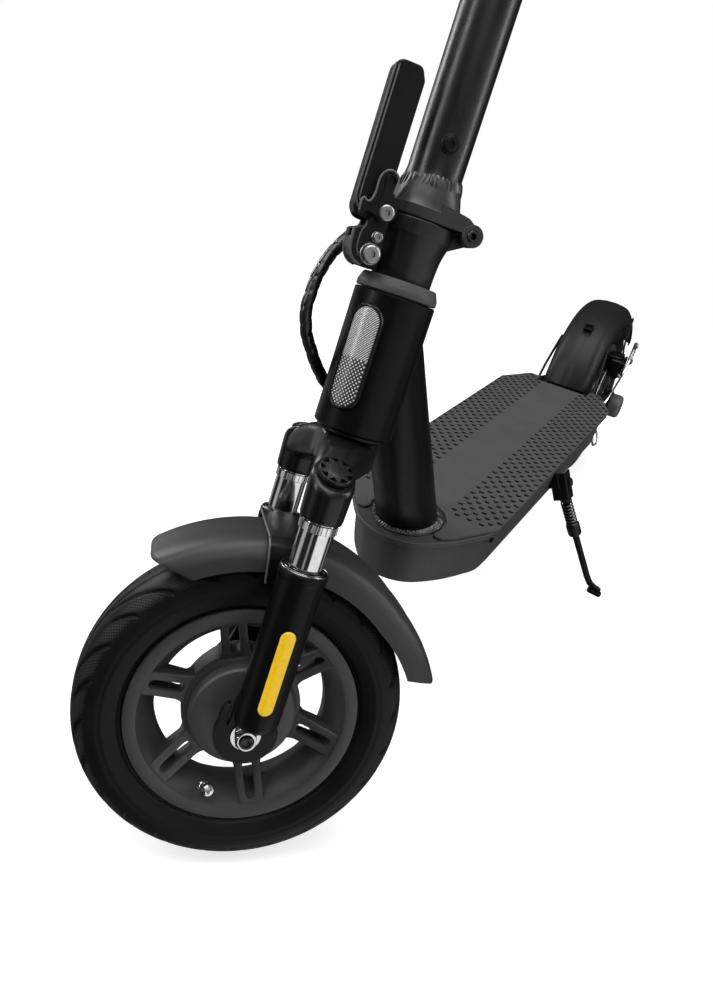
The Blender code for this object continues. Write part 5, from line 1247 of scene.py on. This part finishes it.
guard = [(144.8 - r_, u_) for r_, u_ in fender_section(144.8, 36.5, 22.5, 2.3, shoulder=9)]
loops = []
for k in np.r_[0, 0.004, 0.012, np.linspace(0.025, 0.975, 68), 0.988, 0.996, 1]:
    pts = []
    tuck = 0.9 * (1 - min(min(k, 1 - k) / 0.012, 1)) ** 2
    for dr, u_ in guard:
        g, q = dr / 22.5, (u_ / 36.5) ** 2
        fore, aft = -42.5 + 8.5 * g + 1.0 * q, 68.5 - 4.5 * g - 2.0 * q
        deg = fore + (aft - fore) * k
        t = math.radians(90 - deg)
        rc = 144.8 + (0 if deg < 40 else (deg - 40) * 0.24)
        pts.append(FRONT_C + (V * math.cos(t) + W * math.sin(t)) * (rc - dr - tuck * (1 - g)) + U * u_ * (1 - tuck / 60))
    loops.append(np.array(pts))
piece("front_mudguard_shell", loft(loops), M["fender"], "fork_lower", "front_mudguard", angle=40)
secs = []
bsec = round_poly([(116, 40.8), (134, 40.8), (144, 38.5), (147.9, 31), (147.9, -31), (144, -38.5), (134, -40.8), (116, -40.8),
                   (116, -38.2), (134, -38.2), (142.4, -36.4), (145.5, -29.5), (145.5, 29.5), (142.4, 36.4), (134, 38.2), (116, 38.2)],
                  [0.8, 4, 4, 5, 5, 4, 4, 0.8, 0.8, 4, 4, 5, 5, 4, 4, 0.8], 4)
for deg in np.linspace(-8.6, 7, 12):
    secs.append((math.radians(90 - deg), [tuple(q_) for q_ in bsec]))
piece("mudguard_yoke", arc_shell(FRONT_C, V, W, U, secs), M["plate_black"], "fork_lower", "mudguard_bridge", add=[box(S(45.5 * s, -FORK_OFFSET, -110), U, V, W, 5.2, 7, 5, 0.8) for s in (1, -1)],
      cut=[lathe([(16.9, -150), (16.9, -80)], S(LEG_U * s, -FORK_OFFSET, 0), W, 64, ab=(U, V)) for s in (1, -1)], angle=30, bevel=0.5)
# painted highlights: light strips along the yoke's two edges
for deg in (-8.8, 7.2):
    t = math.radians(90 - deg)
    d = V * math.cos(t) + W * math.sin(t)
    rim_line = [FRONT_C + d * r_ + U * u_ for r_, u_ in bsec[:len(bsec) // 2]]
    piece("yoke_rim_%d" % (deg > 0), sweep(even_path(rim_line, 110)[0], 0.75, 10), M["edge_metal"], "fork_lower", angle=60)


# ---------------------------------------------------------------- wheels
def smoothstep(x):
    x = np.clip(x, 0, 1)
    return x * x * (3 - 2 * x)


def tyre(name, c, axle, body, replaces, flip=1):
    """Tyre with swept sipes: long and short grooves alternate, a fine tooth between them on the shoulder."""
    a_, b_ = perp(axle)
    ctl = [(86.0, 22.6), (88.6, 22.9), (90.6, 24.9), (93, 27.3), (98.5, 29.8), (105, 31), (111, 30.4), (116, 28.7), (120, 25.6), (123.1, 21.6), (125.1, 16.2), (126.2, 9.5), (126.55, 0.0)]
    h = smooth_path([(r_, u_, 0) for r_, u_ in ctl], 56)
    prof = [(float(r_), float(u_)) for r_, u_, _ in h]
    prof = prof + [(r_, -u_) for r_, u_ in reversed(prof[:-1])]
    prof = np.array(prof)
    arc = np.r_[0, np.cumsum(np.hypot(*np.diff(prof, axis=0).T))]
    mid = arc[-1] / 2
    nrm = np.gradient(prof, axis=0)
    nrm = np.c_[-nrm[:, 1], nrm[:, 0]]
    nrm /= np.linalg.norm(nrm, axis=1)[:, None]
    nrm *= np.sign((nrm * (prof - np.array([108.0, 0]))).sum(1))[:, None]
    n = 720
    th_ = np.arange(n) * 2 * math.pi / n
    rows, uvs, patch = [], [], []
    N = 12
    for j in range(len(prof)):
        s = arc[j] - mid                      # lateral distance from the centre line
        sd = 1 if s >= 0 else -1
        x = abs(s)
        dep = np.zeros(n)
        pt = np.zeros(n)
        grv = np.zeros(n)
        ph = th_ * N / (2 * math.pi) + (0.5 if sd > 0 else 0.0)
        pitch = 2 * math.pi * 126 / N
        # sweep of the grooves: flat along the tread near the middle, steeper at the shoulder
        for start, end, off in ((8.5, 34.0, 0.0), (20.0, 34.0, 0.5)):
            if start - 1.5 < x < end + 1.5:
                lean = 1.0 * (max(33.5 - x, 0.0) / 28.5) ** 1.5
                k = ((ph + off + flip * lean + 0.5) % 1.0 - 0.5) * pitch
                slope = 1.5 * ((33.5 - min(x, 33.4)) / 28.5) ** 0.5 / 28.5 * pitch
                dist = np.abs(k) / math.sqrt(1 + slope * slope)
                wid = 0.75 * smoothstep((x - start) / 7) * smoothstep((end - x) / 3.0 + 0.25) + 0.18
                cutk = smoothstep((wid + 0.75 - dist) / 0.9) * smoothstep((x - start + 1.5) / 3) * smoothstep((end + 1.5 - x) / 3)
                dep = np.maximum(dep, 1.6 * cutk)
                grv = np.maximum(grv, cutk)
        lean = 1.0 * ((33.5 - min(x, 33.5)) / 28.5) ** 1.5
        band = smoothstep((x - 20) / 2) * smoothstep((33.5 - x) / 2)
        k2 = ((ph + flip * lean) % 0.5) / 0.5
        pt = band * smoothstep((k2 - 0.14) * 8) * smoothstep((0.86 - k2) * 8)
        if abs(x - 35.2) < 0.9:
            dep = np.maximum(dep, 0.22)       # line where the tread meets the wall
        for x0, dd in ((43.0, 0.35), (46.5, -0.35), (58.5, 0.3), (61.0, -0.3)):
            if abs(x - x0) < 0.8:
                dep = dep + dd
        if abs(x - 6.2) < 0.95:
            dep = np.maximum(dep, 1.3)        # pair of rain grooves beside the centre line
            grv = np.maximum(grv, 1.0)
        # negative patch values mark the grooves, where the tyre material paints shade
        pt = pt * (1 - grv) - grv
        p2 = prof[j][:, None] - nrm[j][:, None] * dep
        rows.append(np.asarray(c) + (np.cos(th_) * p2[0])[:, None] * a_ + (np.sin(th_) * p2[0])[:, None] * b_ + p2[1][:, None] * axle)
        uvs.append(np.c_[th_ * 126 / 1.5, np.full(n, s / 1.5)])
        patch.append(pt)
    inner = [(86.0, -19.5), (95, -21.5), (107, -24), (114, -18), (118.5, -9), (118.5, 9), (114, 18), (107, 24), (95, 21.5), (86.0, 19.5)]
    rows += [ring(np.asarray(c) + axle * u_, a_, b_, r_, n=n) for r_, u_ in inner]
    v, f = loft(rows, True)
    ob = piece(name, (v, f), M["tyre"], body, replaces, angle=60)
    me = ob.data
    at = me.attributes.new("patch", "FLOAT", "POINT")
    at.data.foreach_set("value", np.r_[np.concatenate(patch), np.zeros(n * len(inner))].astype(np.float32))
    uvl = me.uv_layers.new(name="tread")
    flat = np.vstack(uvs + [np.zeros((n, 2))] * len(inner))
    idx = np.zeros(len(me.loops), np.int32)
    me.loops.foreach_get("vertex_index", idx)
    uvl.data.foreach_set("uv", flat[idx].astype(np.float32).ravel())
    return ob


def rim(name, c, axle, body, replaces, ph, bore, sgn=1):
    """Cast wheel: lip, slanted barrel, six paired spokes with a rounded pocket at the outer end, motor drum."""
    a_, b_ = perp(axle)
    half = [(88.5, 26.2), (88.2, 27.0), (87.0, 27.3), (79.6, 27.3), (78.6, 26.9), (78.2, 26.0), (77.6, 23.0), (66.8, 7.4), (66.2, 6.0)]
    out = [(88.5, 26.2), (88.5, 22.9), (85.5, 22.9), (85.3, 18), (80, 12)]
    prof = out + [(r_, -u_) for r_, u_ in reversed(out)] + [(88.2, -27.0), (87.0, -27.3), (79.6, -27.3), (78.6, -26.9), (78.2, -26.0), (77.6, -23.0), (66.8, -7.4), (66.2, -6.0),
                                                              (66.2, 6.0), (66.8, 7.4), (77.6, 23.0), (78.2, 26.0), (78.6, 26.9), (79.6, 27.3), (87.0, 27.3), (88.2, 27.0)]
    drum = [(12, 26.2), (30, 26.4), (36.0, 26.2), (38.6, 25.4), (40.2, 23.6), (40.9, 21.0), (41.3, 15.2), (41.9, 13.2), (43.2, 12.4), (45.2, 11.6), (46, 10.2), (46, -10.2), (45.2, -11.6),
            (43.2, -12.4), (41.9, -13.2), (41.3, -15.2), (40.9, -21), (40.2, -23.6), (38.6, -25.4), (36, -26.2), (30, -26.4), (12, -26.2)]
    bars, slots = [], []
    for k in range(6):
        t = ph + k * math.pi / 3
        d = a_ * math.cos(t) + b_ * math.sin(t)
        e_ = np.cross(axle, d)
        loops = []
        for r_, hw, top, bot in ((43.5, 12.6, 12.2, -8), (46.5, 11.4, 12.4, -4), (50, 10.5, 13.4, 0.5), (66, 10.0, 19.4, 2), (77.0, 10.0, 24.0, 4), (79.4, 9.4, 25.0, 4)):
            ch = 0.9
            sec = [(-hw, bot), (hw, bot), (hw, top - ch), (hw - ch, top), (-hw + ch, top), (-hw, top - ch)]
            loops.append(np.array([np.asarray(c) + d * r_ + e_ * x_ + axle * z_ for x_, z_ in sec]))
        bars.append(loft(loops))
        st = [(47.6, -1.6), (48.4, -3.3), (50.5, -3.9), (70.5, -3.9)] + [(71.5 + 3.9 * math.cos(q_), 3.9 * math.sin(q_)) for q_ in np.linspace(-1.45, 1.45, 11)] + [(70.5, 3.9), (50.5, 3.9), (48.4, 3.3), (47.6, 1.6)]
        slots.append(plate(st, c, d, e_, axle, -30, 40))
    cutters = slots + [lathe([(bore, -40), (bore, 40)], c, axle, 40, False, (a_, b_)), lathe([(36, -18), (36, 18)], c, axle, 56, False, (a_, b_))]
    # pockets are cut from the spokes before the barrel is added, so the barrel closes them
    sp = bpy.data.objects.new("tmp", build_mesh("tmp", bars))
    bpy.context.scene.collection.objects.link(sp)
    ct = bpy.data.objects.new("tmpc", build_mesh("tmpc", slots))
    bpy.context.scene.collection.objects.link(ct)
    m = sp.modifiers.new("b", "BOOLEAN")
    m.operation, m.solver, m.object = "DIFFERENCE", "EXACT", ct
    bv = sp.modifiers.new("bv", "BEVEL")
    bv.width, bv.segments, bv.limit_method, bv.angle_limit = 0.0005, 2, "ANGLE", math.radians(35)
    me = bpy.data.meshes.new_from_object(sp.evaluated_get(bpy.context.evaluated_depsgraph_get()))
    for o_ in (sp, ct):
        mm = o_.data
        bpy.data.objects.remove(o_)
        bpy.data.meshes.remove(mm)
    vv = np.zeros(len(me.vertices) * 3, np.float32)
    me.vertices.foreach_get("co", vv)
    vv = vv.reshape(-1, 3).astype(float)
    # back to deck-frame millimetres
    vv = (vv * 1000 + SHIFT - vec(0, 0, LIFT)) @ ROT
    ff = [tuple(p_.vertices) for p_ in me.polygons]
    bpy.data.meshes.remove(me)
    drum_in = [(36, 18), (36, -18)]
    dr = lathe(drum[:11] + drum[11:], c, axle, 96, False, (a_, b_))
    return piece(name, [lathe(prof, c, axle, 128, True, (a_, b_)), (vv, ff)], M["rim"], body, replaces, angle=30), \
        piece(name + "_drum", lathe([(bore, 26.2)] + drum[1:-1] + [(bore, -26.2), (bore, -20), (36, -18), (36, 18), (bore, 20)], c, axle, 112, True, (a_, b_)), M["rim"], body, angle=24)


tyre("front_tyre_tread", FRONT_C, U, "front_wheel", "front_tyre", -1)
tyre("rear_tyre_tread", REAR_C, X, "rear_wheel", "rear_tyre")
rim("front_rim_cast", FRONT_C, U, "front_wheel", "front_rim", math.radians(40), 8.5)
rim("rear_rim_cast", REAR_C, X, "rear_wheel", "rear_rim", math.radians(20), 8.0)


def valve(name, c, axle, body, ang):
    a_, b_ = perp(axle)
    d = a_ * math.cos(ang) + b_ * math.sin(ang)
    base = np.asarray(c) + d * 72.4 + axle * 13.8
    ax = unit(axle * 0.91 - d * 0.42)
    piece(name, [lathe([(5.6, 0), (5.6, 1.8), (5.0, 2.3)], base, ax, 6), lathe([(3.2, 0), (3.2, 3.4), (4.4, 3.7), (4.4, 6.4), (3.2, 6.9), (3.2, 7.6), (4.5, 8.0), (4.8, 8.6), (4.8, 13.4), (4.2, 14.4), (2.6, 14.9), (2.2, 13.9), (0.3, 13.7)], base, ax, 36)],
          M["chrome"], body, angle=28)


valve("front_valve", FRONT_C, U, "front_wheel", math.radians(71.5))
valve("rear_valve", REAR_C, X, "rear_wheel", 2.4)
dd = []
n = 180
q = np.arange(n) * 2 * math.pi / n
disc_cut = []
for k in range(6):
    t = 2 * math.pi * k / 6
    disc_cut.append(plate([(55 * math.cos(t + x_) if i else 0, 0) for i, x_ in enumerate([0])] and [(r_ * math.cos(t + a2), r_ * math.sin(t + a2)) for r_, a2 in ((31, -0.34), (54, -0.40), (54, 0.18), (50, 0.30), (31, 0.20))], REAR_C, Y, Z, X, 30, 45))
holes = [lathe([(2.6, 30), (2.6, 45)], REAR_C + Y * 62 * math.cos(t) + Z * 62 * math.sin(t), X, 14) for t in np.arange(18) * 2 * math.pi / 18]
dob = piece("rotor_disc", lathe([(69.4, 36.5), (70, 36.9), (70, 37.9), (69.4, 38.3), (24.0, 38.3), (24.0, 36.5)], REAR_C, X, 144, True), M["disc"], "rear_wheel", "brake_disc", cut=disc_cut + holes, angle=30)
piece("rotor_hub", [lathe([(26.0, 38.6), (25.4, 39.4), (9, 39.6), (9, 27.3), (26.0, 27.3)], REAR_C, X, 72, True)] +
      [g_ for t in np.arange(6) * 2 * math.pi / 6 + 0.3 for g_ in socket_screw(REAR_C + X * 38.6 + Y * 21 * math.cos(t) + Z * 21 * math.sin(t), X, 3.2, 2.0, 1.4)], M["dark_steel"], "rear_wheel", angle=30)

# ---------------------------------------------------------------- CAD nodes kept as they are
def finish_node(name, mat):
    ob = frame["nodes"][name]
    ob.data.materials.clear()
    ob.data.materials.append(mat)


cells = Mat("cell_wrap_film")
f_ = cells.noise(5, 3)
cells.color(cells.mix(cells.map(f_, 0.3, 0.7, 0, 1), (0.02, 0.09, 0.28), (0.03, 0.13, 0.36)))
cells.rough(cells.map(f_, 0.3, 0.7, 0.28, 0.42))
cells.bump(f_, 0.3)
finish_node("battery_pack", cells.m)
finish_node("motor_controller", metal("controller_case", (0.42, 0.42, 0.43), 0.35))

# ---------------------------------------------------------------- cable across the steering joint
bpy.context.view_layer.update()
mw_ = loom.matrix_world.copy()
loom.parent = None
loom.matrix_world = mw_
if "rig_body" in loom:
    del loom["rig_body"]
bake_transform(loom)

# ---------------------------------------------------------------- studio
def area(name, az, el, dist, sx, sy, power, target=(0, -0.1, 0.35), color=(1, 1, 1), spread=180):
    li = bpy.data.lights.new(name, "AREA")
    li.shape, li.size, li.size_y, li.energy, li.color = "RECTANGLE", sx, sy, power, color
    li.spread = math.radians(spread)
    ob = bpy.data.objects.new(name, li)
    bpy.context.scene.collection.objects.link(ob)
    az, el = math.radians(az), math.radians(el)
    d = Vector((math.sin(az) * math.cos(el), -math.cos(az) * math.cos(el), math.sin(el)))
    ob.location = Vector(target) + d * dist
    ob.rotation_mode = "QUATERNION"
    ob.rotation_quaternion = d.to_track_quat("Z", "Y")
    return ob


AZ = 24.4
area("top_soft", AZ - 20, 80, 2.6, 2.2, 2.2, 64, (0.0, 0.1, 0.3))
area("left_key", AZ - 62, 30, 2.3, 0.35, 1.6, 15)
area("right_strip", AZ + 92, 24, 2.2, 0.35, 2.0, 18)
area("left_rim", AZ - 122, 26, 2.3, 0.4, 1.8, 24)
area("front_fill", AZ + 14, 46, 3.0, 1.4, 1.0, 5)

w = bpy.data.worlds.new("studio")
bpy.context.scene.world = w
w.use_nodes = True
nt = w.node_tree


def wn(kind, op=None, a_=None, b_=None, c_=None):
    n = nt.nodes.new(kind)
    if op:
        n.operation = op
    for k, q in enumerate((a_, b_, c_)):
        if q is None:
            continue
        if hasattr(q, "is_output"):
            nt.links.new(q, n.inputs[k])
        else:
            n.inputs[k].default_value = q
    return n


def step(x, lo, hi):
    n = nt.nodes.new("ShaderNodeMapRange")
    n.interpolation_type = "SMOOTHSTEP"
    nt.links.new(x, n.inputs["Value"])
    n.inputs["From Min"].default_value, n.inputs["From Max"].default_value = lo, hi
    return n.outputs["Result"]


geo = nt.nodes.new("ShaderNodeTexCoord")
sep = nt.nodes.new("ShaderNodeSeparateXYZ")
nt.links.new(geo.outputs["Generated"], sep.inputs[0])
neg = wn("ShaderNodeMath", "MULTIPLY", sep.outputs["Y"], -1.0).outputs[0]
ang_ = wn("ShaderNodeMath", "ARCTAN2", sep.outputs["X"], neg).outputs[0]
rel = wn("ShaderNodeMath", "WRAP", wn("ShaderNodeMath", "SUBTRACT", ang_, math.radians(AZ)).outputs[0], math.pi, -math.pi).outputs[0]
total = None
for lo, hi, soft, k in ((16, 84, 4, 0.95), (-20, -10, 4, 0.30), (-82, -58, 6, 0.45), (104, 116, 5, 0.25), (-150, -120, 8, 0.4)):
    up_s = step(rel, math.radians(lo - soft), math.radians(lo + soft))
    dn_s = step(rel, math.radians(hi - soft), math.radians(hi + soft))
    band_ = wn("ShaderNodeMath", "MULTIPLY", wn("ShaderNodeMath", "SUBTRACT", up_s, dn_s).outputs[0], k).outputs[0]
    total = band_ if total is None else wn("ShaderNodeMath", "ADD", total, band_).outputs[0]
low = wn("ShaderNodeMath", "ADD", total, 0.02).outputs[0]
high = step(sep.outputs["Z"], 0.0, 0.5)
mixv = wn("ShaderNodeMath", "MULTIPLY", low, wn("ShaderNodeMath", "MULTIPLY_ADD", high, -0.85, 1.0).outputs[0]).outputs[0]
gl = wn("ShaderNodeMath", "ADD", mixv, wn("ShaderNodeMath", "MULTIPLY", high, 0.05).outputs[0]).outputs[0]
lp_ = nt.nodes.new("ShaderNodeLightPath")
bg = nt.nodes["Background"]
bg.inputs["Color"].default_value = (1, 1, 1, 1)
amb = wn("ShaderNodeMath", "MULTIPLY_ADD", lp_.outputs["Is Glossy Ray"], -0.13, 0.13).outputs[0]
strength = wn("ShaderNodeMath", "MULTIPLY_ADD", lp_.outputs["Is Glossy Ray"], gl, amb).outputs[0]
nt.links.new(strength, bg.inputs["Strength"])
bg2 = nt.nodes.new("ShaderNodeBackground")
bg2.inputs["Color"].default_value = (1.0, 1.0, 1.0, 1)
mx = nt.nodes.new("ShaderNodeMixShader")
nt.links.new(lp_.outputs["Is Camera Ray"], mx.inputs[0])
nt.links.new(bg.outputs[0], mx.inputs[1])
nt.links.new(bg2.outputs[0], mx.inputs[2])
nt.links.new(mx.outputs[0], nt.nodes["World Output"].inputs["Surface"])
bpy.context.scene.view_settings.view_transform = "Standard"

fm = bpy.data.meshes.new("floor")
fm.from_pydata([(-9, -9, 0), (9, -9, 0), (9, 9, 0), (-9, 9, 0)], [], [(0, 1, 2, 3)])
floor = bpy.data.objects.new("floor", fm)
bpy.context.scene.collection.objects.link(floor)
fmat = bpy.data.materials.new("floor_paper")
fmat.use_nodes = True
ft = fmat.node_tree
fb = ft.nodes["Principled BSDF"]
fb.inputs["Base Color"].default_value = (0.60, 0.60, 0.60, 1)
fb.inputs["Roughness"].default_value = 0.9
fb.inputs["Specular IOR Level"].default_value = 0.0
fb.inputs["Emission Color"].default_value = (1, 1, 1, 1)
fl = ft.nodes.new("ShaderNodeLightPath")
fa = ft.nodes.new("ShaderNodeMath")
fa.operation = "MULTIPLY_ADD"
ft.links.new(fl.outputs["Is Camera Ray"], fa.inputs[0])
fa.inputs[1].default_value, fa.inputs[2].default_value = 0.66, 0.04
ft.links.new(fa.outputs[0], fb.inputs["Emission Strength"])
far = ft.nodes.new("ShaderNodeEmission")
fc = ft.nodes.new("ShaderNodeTexCoord")
fd = ft.nodes.new("ShaderNodeVectorMath")
fd.operation = "LENGTH"
ft.links.new(fc.outputs["Object"], fd.inputs[0])
fr = ft.nodes.new("ShaderNodeMapRange")
fr.interpolation_type = "SMOOTHSTEP"
fr.inputs["From Min"].default_value, fr.inputs["From Max"].default_value = 0.7, 1.7
ft.links.new(fd.outputs["Value"], fr.inputs["Value"])
fx = ft.nodes.new("ShaderNodeMixShader")
ft.links.new(fr.outputs["Result"], fx.inputs[0])
ft.links.new(fb.outputs[0], fx.inputs[1])
ft.links.new(far.outputs[0], fx.inputs[2])
ft.links.new(fx.outputs[0], ft.nodes["Material Output"].inputs["Surface"])
fs_ = ft.nodes.new("ShaderNodeMath")
fs_.operation = "MULTIPLY_ADD"
ft.links.new(fl.outputs["Is Camera Ray"], fs_.inputs[0])
fs_.inputs[1].default_value, fs_.inputs[2].default_value = 0.90, 0.10
ft.links.new(fs_.outputs[0], far.inputs["Strength"])
fm.materials.append(fmat)
floor.visible_glossy = False
